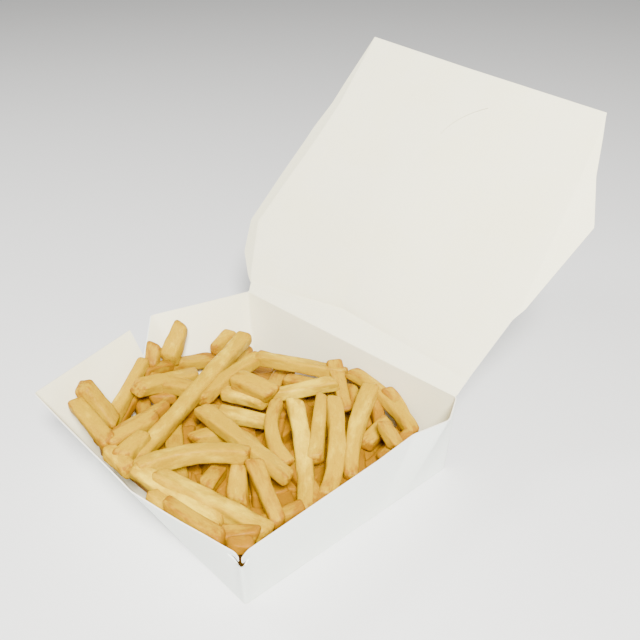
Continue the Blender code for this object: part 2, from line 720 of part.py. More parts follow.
def main():
    remove_scene_objects()
    parts = new_collection("fries in a carton")
    cutters = new_collection("cutters")
    tray_board = material("tray board", (0.90, 0.90, 0.86), 0.6)
    lid_board = material("lid board", (0.91, 0.91, 0.85), 0.6)
    potato = material("fried potato", (0.83, 0.56, 0.14), 0.5)
    tray = build_tray(parts, cutters, tray_board)
    lid = build_lid(parts, lid_board)
    fries = build_fries(parts, potato)
    bpy.context.view_layer.update()
    shift = centre_on_origin((tray, lid, fries), cutters.objects)
    put_origin_on_hinge(lid, shift)


main()
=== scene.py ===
"""French fries in an open takeaway carton of folded white board.

Laid out as an add-on and run as a script. Shapes are worked out in millimetres, measured
from the left end of the hinge as in the part's source: +X runs along the hinge to the
right, +Y to the back and +Z up from the table. SHIFT moves them to the part's frame.
"""
import json
import math
import bmesh
import bpy
import numpy as np
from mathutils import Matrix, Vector


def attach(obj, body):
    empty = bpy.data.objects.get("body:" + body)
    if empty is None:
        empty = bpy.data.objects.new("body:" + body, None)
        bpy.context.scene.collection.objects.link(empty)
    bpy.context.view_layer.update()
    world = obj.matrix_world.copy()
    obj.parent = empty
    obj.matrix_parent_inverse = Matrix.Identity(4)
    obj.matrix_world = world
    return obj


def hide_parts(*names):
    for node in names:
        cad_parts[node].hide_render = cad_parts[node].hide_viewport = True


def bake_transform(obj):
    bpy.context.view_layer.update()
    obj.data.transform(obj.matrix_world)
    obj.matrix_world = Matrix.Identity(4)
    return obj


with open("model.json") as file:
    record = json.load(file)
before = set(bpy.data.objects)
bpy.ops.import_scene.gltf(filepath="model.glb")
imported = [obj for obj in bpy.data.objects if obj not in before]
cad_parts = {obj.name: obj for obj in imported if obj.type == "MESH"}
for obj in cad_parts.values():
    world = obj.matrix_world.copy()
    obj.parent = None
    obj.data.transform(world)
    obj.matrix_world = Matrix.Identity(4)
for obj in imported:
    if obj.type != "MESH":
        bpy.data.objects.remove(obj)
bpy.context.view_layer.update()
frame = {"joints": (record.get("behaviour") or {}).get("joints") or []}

bl_info = {
    "name": "French fries in a carton",
    "version": (1, 0, 0),
    "blender": (4, 5, 0),
    "location": "View3D > Sidebar > Fries",
    "description": "Builds an open takeaway carton of folded board, filled with french fries",
    "category": "Add Mesh",
}

MM = 0.001

# Tray: four flared walls of folded board on a flat floor.
BOARD = 0.6
RIM_HEIGHT = 45.0
RIM_REAR_LEFT = (0.0, 0.0)
RIM_REAR_RIGHT = (150.0, 0.0)
RIM_FRONT_RIGHT = (150.5, -139.0)
RIM_FRONT_LEFT = (0.0, -139.0)
FLOOR_REAR_LEFT = (10.0, -7.0)
FLOOR_REAR_RIGHT = (148.8, -0.8)
FLOOR_FRONT_RIGHT = (138.0, -128.0)
FLOOR_FRONT_LEFT = (12.0, -119.8)
FRONT_BOW = (
    (0.0, 0.0), (0.19, 2.3), (0.37, 4.2), (0.49, 5.4), (0.6, 6.8), (0.72, 4.7), (0.79, 3.2),
    (0.87, 1.0), (0.93, -0.4), (0.97, -1.6), (1.0, 0.0),
)
LEFT_BOW = ((0.0, 0.0), (0.40, 19.0), (1.0, 0.0))
RIGHT_BOW = (
    (0.0, 0.0), (0.04, -1.8), (0.2, -0.6), (0.56, 2.0), (0.74, 2.4), (0.88, 8.0), (1.0, 0.0),
)
RIGHT_FOLD_FOOT = 0.745
CORNER_DIP = 0.4

# Gap in the left wall, where the board of the side and of the corner part: its two
# ends at the rim and its foot, as distances to the back and up.
GAP_CORNERS = ((-73.7, 47.0), (-72.3, 31.0), (-55.0, 47.0))
GAP_PLACE = -24.0
GAP_REACH = 24.0

# Lid: a narrow strip between two creases, a bowed panel and two side flaps.
HINGE_OUT = 0.4
HINGE_UP = 0.4
STRIP_START = 0.7
STRIP_RISE = math.radians(30.0)
PANEL_RISE = math.radians(48.0)
STRIP_WIDTHS = (5.5, 15.5, 9.0)
STRIP_STATIONS = (0.0, 0.45, 1.0)
LID_LEFT = (
    (0.0, 0.5), (9.0, -5.6), (41.0, -20.8), (71.0, -15.2), (100.0, -9.7), (126.0, -6.2), (173.0, -6.2),
)
LID_RIGHT = (
    (0.0, 149.5), (9.0, 149.2), (52.0, 157.2), (101.0, 154.6), (144.0, 152.0), (158.0, 149.6),
)
LID_LENGTH_LEFT = 172.0
LID_LENGTH_RIGHT = 157.0
LEFT_FLAP = (
    (4.0, 0.0), (21.0, 11.5), (43.0, 8.5), (75.0, 10.0), (108.0, 10.5), (140.0, 6.0), (171.0, 0.5),
)
RIGHT_FLAP = ((45.0, 0.0), (101.0, 16.0), (125.0, 7.0), (144.0, 2.4), (156.0, 0.5))
LEFT_FLAP_BACK = math.radians(15.0)
RIGHT_FLAP_BACK = math.radians(8.0)
RIDGE_HEIGHT = 3.0
RIDGE_SPREAD = 34.0
RIDGE_START = 58.0
RIDGE_END = 76.0

# View from which the main fries are laid out: a pixel of a square picture is one
# line of sight from the eye.
EYE = (310.7, -263.7, 273.0)
SIGHT = (-0.590, 0.618, -0.5225)
PICTURE_CENTRE = 320.0
PICTURE_FOCUS = 783.0

# Fries
FRY_SEED = 11
FILL_COUNT = 34
FILL_TRIES = 8
FILL_LOW = (14.0, -126.0)
FILL_HIGH = (136.0, -10.0)
FRY_WIDTH = 8.3
FRY_WIDTH_SPREAD = 0.7
FRY_LENGTH = 62.0
FRY_LENGTH_SPREAD = 15.0
FRY_SHORTEST = 34.0
FRY_LONGEST = 98.0
FRY_THINNEST = 6.8
FRY_THICKEST = 10.0
FILL_BOW = 3.0
FRY_SINK = 2.0
LINE_POINTS = 31
LEAST_BOW = 0.5
BOW_STEP = 0.8
CLEAR_STEP = 0.5
STANDING_MARGIN = 0.56
STANDING_HEAD = 2.4
STANDING_TOP = 44.6
FIRST_GUESS = 28.0
SIGHT_STEPS = 10
FLOOR_LEVEL = 4.0
WALL_CLEARANCE = 1.4
HEAP_TOP = 37.0
FILL_TOP = 24.0
CORE_FOOT = 0.3
CORE_TOP = 7.5
CORE_SWELL = 3.0
CORE_REACH = (75.0, 68.0)
CORE_RIPPLE = 0.8
RIPPLE_WAVES = (9.0, 11.0)
TRAY_MIDDLE = (75.0, -68.0)
GRID_LOW = (-30, -156)
GRID_SHAPE = (206, 172)

# Each main fry: the two ends as seen from the eye, the width, the sideways bow and how
# much higher the first end lies than the last, in millimetres. They are laid in this
# order, each on what lies below it.
MAIN_FRIES = (
    ((142, 400), (149, 426), 8.0, 0.0, 0.0),
    ((150, 399), (176, 396), 7.6, 0.0, 0.0),
    ((350, 380), (366, 426), 7.5, 0.0, 0.0),
    ((284, 379), (326, 388), 7.0, 0.0, 0.0),
    ((148, 381), (206, 392), 8.3, 0.0, 0.0),
    ((112, 434), (168, 399), 8.3, 0.0, 0.0),
    ((95, 448), (120, 471), 8.5, 0.0, 4.0),
    ((138, 497), (214, 538), 7.5, 0.0, 0.0),
    ((221, 542), (260, 540), 7.5, 0.0, 0.0),
    ((163, 503), (224, 541), 7.0, 0.0, 2.0),
    ((412, 437), (380, 461), 8.5, 0.0, 4.0),
    ((388, 422), (363, 446), 8.0, 0.0, 4.0),
    ((384, 390), (406, 426), 7.5, -2.0, 6.0),
    ((136, 389), (197, 375), 8.8, 0.0, 8.0),
    ((170, 363), (212, 357), 7.6, 0.0, 2.0),
    ((220, 392), (267, 403), 8.0, 0.0, 0.0),
    ((218, 412), (275, 424), 7.5, 0.0, 0.0),
    ((221, 469), (203, 490), 8.0, 0.0, 0.0),
    ((383, 424), (398, 449), 6.8, 0.0, 4.0),
    ((239, 462), (238, 506), 9.0, 0.0, 6.0),
    ((256, 356), (346, 374), 7.5, 0.0, 5.0),
    ((158, 413), (98, 446), 8.3, 0.0, 3.0),
    ((264, 355), (199, 402), 8.5, 2.0, 6.0),
    ((232, 333), (212, 350), 8.0, 0.0, 2.0),
    ((273, 395), (337, 383), 7.5, 0.0, -3.0),
    ((343, 356), (347, 412), 7.5, 0.0, 12.0),
    ((354, 369), (414, 434), 7.5, -13.0, 6.0),
    ((322, 396), (315, 462), 7.3, 0.0, 9.0),
    ((278, 401), (287, 466), 7.8, 5.0, 8.0),
    ((333, 400), (327, 500), 8.3, -3.0, 14.0),
    ((294, 401), (306, 515), 8.8, -2.0, 16.0),
    ((372, 387), (351, 479), 8.5, 3.0, 12.0),
    ((254, 462), (280, 526), 8.0, 0.0, 10.0),
    ((146, 432), (106, 462), 8.3, 0.0, 3.0),
    ((134, 354), (101, 443), 7.2, 2.0, 16.0),
    ((192, 441), (256, 453), 8.0, -9.0, 0.0),
    ((246, 336), (134, 462), 9.2, 0.0, 5.0),
    ((157, 476), (270, 534), 9.0, 0.0, 8.0),
    ((115, 474), (222, 526), 8.6, -4.0, 6.0),
    ((200, 408), (290, 480), 8.0, 0.0, 3.0),
    ((250, 455), (133, 471), 8.8, 6.0, 1.0),
    ((236, 379), (274, 396), 10.5, 0.0, 2.0),
)

# Fries that stand against the left wall: the top end and the foot as seen from the
# eye, the width and how high the foot lies.
STANDING_FRIES = (
    ((181, 317), (168, 362), 9.5, 24.0),
    ((152, 341), (151, 368), 7.2, 26.0),
    ((72, 377), (112, 424), 9.6, 22.0),
    ((70, 403), (84, 450), 8.8, 24.0),
)

# How brown each main fry is, in the order of MAIN_FRIES: 0 pale, 1 well browned. Fries that lie in
# shade get browner tones here, as painted shade.
MAIN_TONES = (
    0.66, 0.72, 0.75, 0.70, 0.62, 0.70, 0.28, 0.40, 0.72, 0.70, 0.80, 0.55, 0.66, 0.42,
    0.50, 0.18, 0.22, 0.50, 0.55, 0.46, 0.48, 0.58, 0.52, 0.48, 0.22, 0.60, 0.58, 0.44,
    0.52, 0.44, 0.14, 0.34, 0.62, 0.40, 0.46, 0.44, 0.40, 0.30, 0.20, 0.50, 0.42, 0.50,
)
STANDING_TONES = (0.40, 0.62, 0.55, 0.55)
FILLING_TONE = 0.66
FILLING_TONE_SPREAD = 0.12
FILLING_TONE_RANGE = (0.35, 0.95)
# Tone of the deep and low fries: browner than their own colour, as painted shade in the gaps.
DEEP_SHADED_TONE = 0.86
# Tone of the lump under the fries: fully brown, as painted shade seen through the gaps.
LUMP_SHADED_TONE = 1.6
# Painted shade: how much browner a fry is at the table than at the level from which it has its own
# tone.
DEPTH_PAINTED_SHADE = 1.0
PAINTED_SHADE_LEVEL = 27.0
PALE_LIMIT = 0.35
BROWN_LIMIT = 0.57

# The real fries: points round and along each one, how square it is and how uneven. Each
# noise has its number of waves and the length of the shortest, and spreads are ranges of
# random draws.
ROUND_POINTS = 28
ALONG_STEP = 1.1
LEAST_RINGS = 12
SQUARENESS = 3.6
SQUARENESS_SPREAD = 0.8
BREADTHS = (0.96, 1.08)
DEPTHS = (0.86, 1.0)
UNEVEN = 0.055
BROAD_NOISE = (7, 26.0)
FINE_NOISE = (6, 7.0)
FINE_SHARE = 0.35
NOISE_RATES = (0.3, 1.0)
NOISE_TURNS = 3
TAPER = 0.15
DENT = 0.05
DENT_NOISE = (4, 30.0)
DENT_CHANGE = 0.6
TWIST = math.radians(24.0)
SLANT = 0.45
SLANT_REACH = 2.5
END_ROUNDING = 2.6
END_POWER = 2.6
END_LEAST = 0.02
END_STATIONS = (0.0, 0.04, 0.14, 0.3, 0.55, 0.8)
END_TONE_REACH = 0.55
GRAIN_STRETCH = 0.45
GRAIN_SHIFT = 400.0
LOOK_SEED = 5
SEED_STEP = 1000

# Deep fries, scattered low in the tray.
DEEP_SEED = 23
DEEP_COUNT = 46
DEEP_WIDTHS = (7.0, 9.0)
DEEP_LENGTHS = (30.0, 70.0)
DEEP_FOOT = 9.0
DEEP_TOP = 19.0
DEEP_TILT = 3.0
DEEP_BOW = 3.0

# Fries seen low through the gaps: the pixels of both ends, the width and the least height.
LOW_FRIES = (
    ((142, 373), (176, 364), 7.0, 20.0),
    ((117, 428), (140, 384), 7.0, 16.0),
    ((373, 388), (381, 432), 7.0, 20.0),
    ((226, 558), (256, 555), 6.5, 27.0),
)

# The lump below the fries: cells, clearance to the board, and the ripple's height, sway
# and waves.
LUMP_CELLS = (60, 56)
LUMP_CLEARANCE = 1.4
LUMP_RIPPLE = 0.7
LUMP_SWAY = 1.3
LUMP_WAVES = (2.9, 6.1, 3.3)

# The board's mesh: steps along the tray's outline, rounding of its folds, rings of the
# floor as shares, the fold at the floor as a step inward and up, and rows of the walls.
OUTLINE_STEP = 0.9
FOLD_SIGMA = 1.2
FLOOR_RINGS = (0.25, 0.5, 0.75, 0.93)
FOLD_RINGS = ((1.6, 0.0), (0.6, 0.02))
LOW_WALL_LINES = (0.012, 0.03)
WALL_LINES = 16
WALL_LINES_START = 0.07
DIP_REACH = 9.0
DIP_POWER = 3
# Outline of the near corner's opening, to the right and up as seen from the eye.
NOTCH_OUTLINE = (
    (-0.5, 3.5), (-0.6, -0.6), (-1.4, -0.5), (-3.0, 0.3), (-5.3, 0.9), (-5.9, 0.3), (-4.3, -1.1),
    (-2.8, -2.5), (-1.2, -3.7), (0.2, -4.1), (1.9, -3.6), (3.0, -2.6), (4.1, -0.9), (2.4, -1.3),
    (1.3, -1.8), (0.7, -1.7), (0.5, -0.6), (0.5, 3.5),
)
NOTCH_REACH = (-7.0, 9.0)
SLIT = ((69.6, 124.8), (73.5, 137.0), (88.8, 145.3))
SLIT_WIDTH = 0.35
SLIT_POINTS = 15
SLIT_REACH = (-3.0, 7.0)

# Slow waves of the board: their height, where they fade on a wall, and their lengths.
WAVE = 0.25
WAVE_FADE = 0.9
WALL_WAVES = (21.0, 11.3)
SECOND_WAVE = 0.6
LID_WAVES = (23.0, 60.0)

# The lid's mesh: its bend at the crease, its ridge, and the rows and columns of its grid.
CREASE_DEPTH = 0.40
CREASE_WIDTH = 2.0
BEND_REACH = 1.2
RIDGE_POWER = 0.6
STRIP_LINES = 8
CREASE_LINES = (0.0, 0.004, 0.009, 0.015, 0.024)
PANEL_LINES = 90
PANEL_LINES_START = 0.035
LID_COLUMNS = 101
FLAP_STEPS = (0.03, 0.1, 0.3, 0.55, 0.8, 1.0)
FLAP_FOLD = 0.12
MERGE_REACH = 0.01
FLAT_EDGE = 1e-6

# The crease at the hinge: points of its curves and along it, its ends, and how far each
# curve is pulled out.
HINGE_CURVE_POINTS = 9
HINGE_POINTS = 75
HINGE_ENDS = (0.3, 149.3)
INNER_PULL = 0.6
OUTER_PULL = 0.25

# Looks that the panel doesn't change: clouds in the board, its gloss, and the bumps in metres.
INSIDE_CLOUD = (0.93, 0.88, 0.56)
OUTSIDE_CLOUD = (0.86, 0.90, 0.82)
EDGE_COLOUR = (0.86, 0.82, 0.70)
EDGE_CLOUD = (0.80, 0.74, 0.60)
BOARD_CLOUDS = 0.4
EDGE_CLOUDS = 0.6
BOARD_GLOSS = 0.35
BOARD_BUMP = 0.00012
BOARD_BUMP_STRENGTH = 0.12
EDGE_BUMP_STRENGTH = 0.3
SKIN_BUMP = 0.0006
SKIN_BUMP_STRENGTH = 0.55
SKIN_VALUES = (
    ("Subsurface Weight", 0.15), ("Subsurface Radius", (1.0, 0.6, 0.15)),
    ("Subsurface Scale", 0.0022), ("Specular IOR Level", 0.09),
)
# Inputs of the two looks, and their noises: scale, detail and roughness of each.
SKIN_INPUTS = (
    ("Grain", "Vector"), ("Tone", "Float"), ("Edge", "Float"), ("End", "Float"),
    ("Pale", "Color"), ("Golden", "Color"), ("Brown", "Color"),
)
SKIN_NOISES = ((0.16, 3.0, 0.55), (0.5, 4.0, 0.6), (1.7, 4.0, 0.65), (0.95, 2.0, 0.5))
BOARD_INPUTS = (("Place", "Vector"), ("Colour", "Color"), ("Cloud", "Color"), ("Amount", "Float"))
BOARD_NOISES = ((32.0, 4.0, 0.55), (900.0, 3.0, 0.7), (260.0, 3.0, 0.6))
# How much each of these adds to a fry's tone, and to its height.
NOISE_MEAN = 0.5
BROAD_SHARE = 1.15
PATCH_SHARE = 0.55
EDGE_SHARE = 0.13
END_SHARE = 0.55
SKIN_HEIGHTS = (0.9, 0.5)
FIBRE_HEIGHT = 0.35
# Smooth steps: the two ends of the value, and of the result where it isn't 0 to 1.
END_RANGE = (0.35, 0.62, 0.35, 1.0)
GOLDEN_RANGE = (0.0, 0.55)
BROWN_RANGE = (0.6, 1.25)
FRECKLE_RANGE = (0.66, 0.78, 0.0, 0.45)
STREAK_RANGE = (0.3, 0.75, 0.92, 1.06)
SKIN_ROUGHNESS = (0.3, 0.7, 0.34, 0.54)
CLOUD_RANGE = (0.35, 0.7)
FLECK_RANGE = (0.3, 0.7, 0.985, 1.01)
BOARD_ROUGHNESS = (0.3, 0.7, 0.42, 0.56)
# How nodes are laid out, and the sockets of a mix node that mixes colours.
NODE_ROWS = 4
NODE_COLUMNS = 8
NODE_STEP = (240, 260)
MIX_INPUTS = (0, 6, 7)
MIX_RESULT = 2
FLOOR_ROUGHNESS = 0.7
TRAY_CRISP = 40.0
LID_CRISP = 35.0
HINGE_CRISP = 60.0

# Stage: each light's name, place, size, share of the main power and colour.
LIGHTS = (
    ("main_light", (0.62, -0.50, 0.88), 0.32, 1.0, (1.0, 0.985, 0.955)),
    ("fill_light", (-0.60, -0.44, 0.90), 0.30, 0.13, (0.98, 0.99, 1.0)),
)
LIGHT_AIM = (0.0, -0.02, 0.04)
SENSOR = 36.0
NEAREST_SEEN = 0.01
SKY_COLOUR = (1.0, 0.995, 0.985, 1.0)

JOINT = frame["joints"][0]
HINGE_MIDDLE = (75.0, HINGE_OUT, RIM_HEIGHT + HINGE_UP)
SHIFT = np.array(JOINT["pos_m"]) / MM - np.array(HINGE_MIDDLE)


def unit(vector):
    return vector / np.linalg.norm(vector)


def units(rows):
    """Each row of an array at length 1."""
    return rows / np.linalg.norm(rows, axis=1, keepdims=True)


def side_table():
    """The four walls in order, front, right, back and left.

    Each has the ends of its rim, the ends of its floor line, the rim's outward bow, and the
    shares along the floor line that stand below shares along the rim.
    """
    straight = ((0.0, 0.0), (1.0, 0.0))
    below = ((0.0, 0.0), (1.0, 1.0))
    return (
        (RIM_FRONT_LEFT, RIM_FRONT_RIGHT, FLOOR_FRONT_LEFT, FLOOR_FRONT_RIGHT, FRONT_BOW, below),
        (RIM_FRONT_RIGHT, RIM_REAR_RIGHT, FLOOR_FRONT_RIGHT, FLOOR_REAR_RIGHT, RIGHT_BOW,
         ((0.0, 0.0), (RIGHT_BOW[-2][0], RIGHT_FOLD_FOOT), (1.0, 1.0))),
        (RIM_REAR_RIGHT, RIM_REAR_LEFT, FLOOR_REAR_RIGHT, FLOOR_REAR_LEFT, straight, below),
        (RIM_REAR_LEFT, RIM_FRONT_LEFT, FLOOR_REAR_LEFT, FLOOR_FRONT_LEFT, LEFT_BOW, below),
    )


def bow_at(share, knots):
    return np.interp(share, *zip(*knots))


def outward(start, end):
    """The unit normal that points out of the tray, for a side walked counter-clockwise."""
    run = np.subtract(end, start)
    return np.array([run[1], -run[0]]) / np.linalg.norm(run)


def outside(x, y, start, end):
    """How far a plan position lies outside a side's straight line."""
    normal = outward(start, end)
    return (x - start[0]) * normal[0] + (y - start[1]) * normal[1]


def wall_share(x, y, margin):
    """How far up the walls a plan position lies, 0 at the floor's edge and 1 at the rim.

    Each wall runs from its floor line to its rim curve, so the share is the distance
    outside the floor line over the whole run. The margin moves the walls inward.
    """
    share = np.zeros(np.shape(x))
    for rim_start, rim_end, floor_start, floor_end, bow, _ in side_table():
        run = np.subtract(rim_end, rim_start)
        along = ((x - rim_start[0]) * run[0] + (y - rim_start[1]) * run[1]) / np.dot(run, run)
        outside_floor = outside(x, y, floor_start, floor_end) + margin
        outside_rim = outside(x, y, rim_start, rim_end) - bow_at(along, bow) + margin
        share = np.maximum(share, outside_floor / np.maximum(outside_floor - outside_rim, 1.0))
    return share


def eye_axes():
    """The directions ahead, to the right and up as seen from the eye."""
    ahead = unit(np.array(SIGHT))
    right = unit(np.cross(ahead, (0.0, 0.0, 1.0)))
    return ahead, right, np.cross(right, ahead)


def sight_line(pixel):
    """The direction from the eye through a pixel."""
    ahead, right, up = eye_axes()
    return (ahead * PICTURE_FOCUS + right * (pixel[0] - PICTURE_CENTRE)
            + up * (PICTURE_CENTRE - pixel[1]))


def at_height(pixel, height):
    """The plan position that a pixel shows at a height."""
    ray = sight_line(pixel)
    reach = (height - EYE[2]) / ray[2]
    return np.array([EYE[0] + ray[0] * reach, EYE[1] + ray[1] * reach])


def wall_height(x, y, margin):
    """The height of the walls' inner face over a plan position, moved inward by a margin."""
    return RIM_HEIGHT * np.minimum(wall_share(x, y, margin), 3.0)


def keep_clear(place, height, width):
    """A plan position moved towards the tray's middle until a fry at that height clears the walls."""
    margin = WALL_CLEARANCE + 0.5 * width
    while wall_height(*place, margin) > height - 0.5 * width:
        place = place + unit(np.subtract(TRAY_MIDDLE, place))
    return place


def clear_place(pixel, height, width):
    """The lowest place on a line of sight, from a height up, where a fry's end clears the walls."""
    margin = WALL_CLEARANCE + 0.5 * width
    highest = HEAP_TOP - 0.5 * width
    while height < highest and wall_height(*at_height(pixel, height), margin) > height - 0.5 * width:
        height = height + CLEAR_STEP
    return np.array([*keep_clear(at_height(pixel, height), height, width), height])


def inside(place, width):
    """A plan position kept over the tray's floor."""
    return keep_clear(place, FLOOR_LEVEL + 0.5 * width, width)


def sight_meets(pixel, margin, lowest):
    """Where a line of sight meets the wall behind, or comes down to the lowest height."""
    heights = np.linspace(RIM_HEIGHT, lowest, 240)
    places = np.array([at_height(pixel, height) for height in heights])
    blocked = heights < wall_height(places[:, 0], places[:, 1], margin)
    first = int(np.argmax(blocked)) if blocked.any() else len(heights) - 1
    return np.array([*places[first], heights[first]])


class Heap:
    """The height of what lies in the tray, on a grid of one millimetre, and the fries laid so far."""

    def __init__(self):
        x = GRID_LOW[0] + np.arange(GRID_SHAPE[0])
        y = GRID_LOW[1] + np.arange(GRID_SHAPE[1])
        self.x, self.y = np.meshgrid(x, y, indexing="ij")
        self.top = core_height(self.x, self.y)
        self.fries = []

    def support(self, x, y):
        """The higher of the heap's top and the walls' inner face."""
        column = np.clip(np.rint(x - GRID_LOW[0]).astype(int), 0, GRID_SHAPE[0] - 1)
        row = np.clip(np.rint(y - GRID_LOW[1]).astype(int), 0, GRID_SHAPE[1] - 1)
        return np.maximum(self.top[column, row], wall_height(x, y, WALL_CLEARANCE))

    def support_along(self, plan, width):
        """The highest support across a fry's width, at each point of its line."""
        offsets = np.linspace(-0.5, 0.5, 5) * width
        across = side_normals(plan)
        x = plan[:, 0, None] + across[:, 0, None] * offsets
        y = plan[:, 1, None] + across[:, 1, None] * offsets
        return self.support(x, y).max(axis=1)

    def rest(self, plan, width):
        """The underside of a straight fry that rests on both sides of its weight.

        It is the edge of the support's upper hull that spans the fry's middle.
        """
        share = np.linspace(0.0, 1.0, len(plan))
        support = self.support_along(plan, width)
        middle = len(share) // 2
        low, high = np.meshgrid(np.arange(middle), np.arange(middle + 1, len(share)), indexing="ij")
        slope = (support[high] - support[low]) / (share[high] - share[low])
        at_middle = support[low] + slope * (0.5 - share[low])
        best = np.unravel_index(np.argmax(at_middle), at_middle.shape)
        return at_middle[best] + slope[best] * (share - 0.5) - FRY_SINK

    def touch(self, plan, width, tilt):
        """The underside of a fry of a given tilt, lowered until it sinks into what it meets."""
        line = tilt * (0.5 - np.linspace(0.0, 1.0, len(plan)))
        lift = (self.support_along(plan, width) - line).max() - FRY_SINK
        return line + min(lift, HEAP_TOP - width - line.max())

    def keep(self, plan, under, width):
        """Adds a fry and raises the heap's top under it."""
        centre = np.column_stack([plan, under + width / 2.0])
        self.fries.append((centre, width))
        line = resample(centre, np.linspace(0.0, 1.0, 160))
        across = side_normals(line[:, :2])
        for offset in np.linspace(-0.5, 0.5, 11) * width:
            column = np.rint(line[:, 0] + across[:, 0] * offset - GRID_LOW[0]).astype(int)
            row = np.rint(line[:, 1] + across[:, 1] * offset - GRID_LOW[1]).astype(int)
            column = np.clip(column, 0, GRID_SHAPE[0] - 1)
            row = np.clip(row, 0, GRID_SHAPE[1] - 1)
            np.maximum.at(self.top, (column, row), line[:, 2] + width / 2.0)


def core_height(x, y):
    """The plain lump under the fries: highest in the middle, with soft unevenness."""
    across = np.clip((x - TRAY_MIDDLE[0]) / CORE_REACH[0], -1.0, 1.0)
    along = np.clip((y - TRAY_MIDDLE[1]) / CORE_REACH[1], -1.0, 1.0)
    swell = (1.0 - across ** 2) * (1.0 - along ** 2)
    ripple = CORE_RIPPLE * np.sin(x / RIPPLE_WAVES[0]) * np.cos(y / RIPPLE_WAVES[1])
    return CORE_TOP + CORE_SWELL * swell + ripple


def plan_line(start, end, bow):
    """A line from start to end that bows sideways as a parabola."""
    share = np.linspace(0.0, 1.0, LINE_POINTS)
    run = np.subtract(end, start)
    normal = np.array([run[1], -run[0]]) / max(np.linalg.norm(run), 1e-6)
    return (np.outer(1.0 - share, start) + np.outer(share, end)
            + np.outer(4.0 * bow * share * (1.0 - share), normal))


def side_normals(plan):
    run = np.gradient(plan, axis=0)
    run = run / np.maximum(np.linalg.norm(run, axis=1, keepdims=True), 1e-6)
    return np.column_stack([run[:, 1], -run[:, 0]])


def resample(line, share):
    """Points at even shares of a line's length."""
    steps = np.concatenate([[0.0], np.cumsum(np.linalg.norm(np.diff(line, axis=0), axis=1))])
    return np.column_stack([np.interp(share * steps[-1], steps, line[:, axis]) for axis in range(3)])


def clear_line(start, end, bow, height, width):
    """A bowed line whose bow is lessened until a fry at that height clears the walls."""
    margin = WALL_CLEARANCE + 0.5 * width
    plan = plan_line(start, end, bow)
    while abs(bow) > LEAST_BOW and wall_height(*plan.T, margin).max() > height - 0.5 * width:
        bow = bow * BOW_STEP
        plan = plan_line(start, end, bow)
    return plan


def lay_filling(heap, draw):
    """Fries at random turns, each over the lowest of a few random places."""
    for _ in range(FILL_COUNT):
        width = float(np.clip(draw.normal(FRY_WIDTH, FRY_WIDTH_SPREAD), FRY_THINNEST, FRY_THICKEST))
        length = float(np.clip(draw.normal(FRY_LENGTH, FRY_LENGTH_SPREAD), FRY_SHORTEST, FRY_LONGEST))
        turns = draw.uniform(0.0, math.pi, FILL_TRIES)
        middles = draw.uniform(FILL_LOW, FILL_HIGH, (FILL_TRIES, 2))
        bow = draw.normal(0.0, FILL_BOW)
        halves = 0.5 * length * np.column_stack([np.cos(turns), np.sin(turns)])
        plans = [plan_line(inside(middle - half, width), inside(middle + half, width), bow)
                 for middle, half in zip(middles, halves)]
        unders = [heap.rest(plan, width) for plan in plans]
        lowest = int(np.argmin([under.mean() for under in unders]))
        if unders[lowest].max() + width < FILL_TOP:
            heap.keep(plans[lowest], unders[lowest], width)


def lay_main(heap):
    """The main fries, each moved along its lines of sight until it rests where it is seen."""
    for first, last, width, bow, tilt in MAIN_FRIES:
        middle = FIRST_GUESS
        for _ in range(SIGHT_STEPS):
            start = clear_place(first, middle + 0.5 * tilt, width)
            end = clear_place(last, middle - 0.5 * tilt, width)
            plan = clear_line(start[:2], end[:2], bow, middle, width)
            under = heap.touch(plan, width, start[2] - end[2])
            middle = 0.5 * (middle + under.mean() + 0.5 * width)
        heap.keep(plan, under, width)


def lay_standing(heap):
    """Fries that lean on the wall, from a foot in the heap to a top against the board."""
    for top, foot, width, foot_height in STANDING_FRIES:
        stout = 2.0 * STANDING_MARGIN * width
        head = sight_meets(top, WALL_CLEARANCE + 0.5 * stout, foot_height)
        head[:2] = keep_clear(head[:2], head[2], stout)
        base = clear_place(foot, foot_height, stout)
        cut = max(0.0, (head[2] - STANDING_TOP + STANDING_HEAD) / (head[2] - foot_height))
        share = np.linspace(cut, 1.0, LINE_POINTS)
        heap.fries.append((np.outer(1.0 - share, head) + np.outer(share, base), width))


def lay_fries():
    heap = Heap()
    lay_filling(heap, np.random.default_rng(FRY_SEED))
    lay_standing(heap)
    lay_main(heap)
    return heap.fries


def smooth_noise(along, turn, draw, waves, reach):
    """Soft unevenness over a fry: a sum of cosines of its length and of whole turns round it.

    The sum over k of a_k * cos(f_k * along + m_k * turn + phase_k), with m_k whole, so that
    it closes round the section.
    """
    total = np.zeros(np.broadcast(along, turn).shape)
    for _ in range(waves):
        rate = draw.uniform(*NOISE_RATES) * 2.0 * math.pi / reach
        whole = draw.integers(-NOISE_TURNS, NOISE_TURNS + 1)
        phase = draw.uniform(0.0, 2.0 * math.pi)
        total = total + draw.normal(0.0, 1.0) * np.cos(rate * along + whole * turn + phase)
    return total / math.sqrt(waves)


def frames_along(line):
    """Unit vectors along, across and up at each point of a centre line."""
    along = units(np.gradient(line, axis=0))
    across = np.cross((0.0, 0.0, 1.0), along)
    steep = np.linalg.norm(across, axis=1, keepdims=True)
    across = np.where(steep > 0.05, across / np.maximum(steep, 1e-6), (1.0, 0.0, 0.0))
    return along, across, np.cross(along, across)


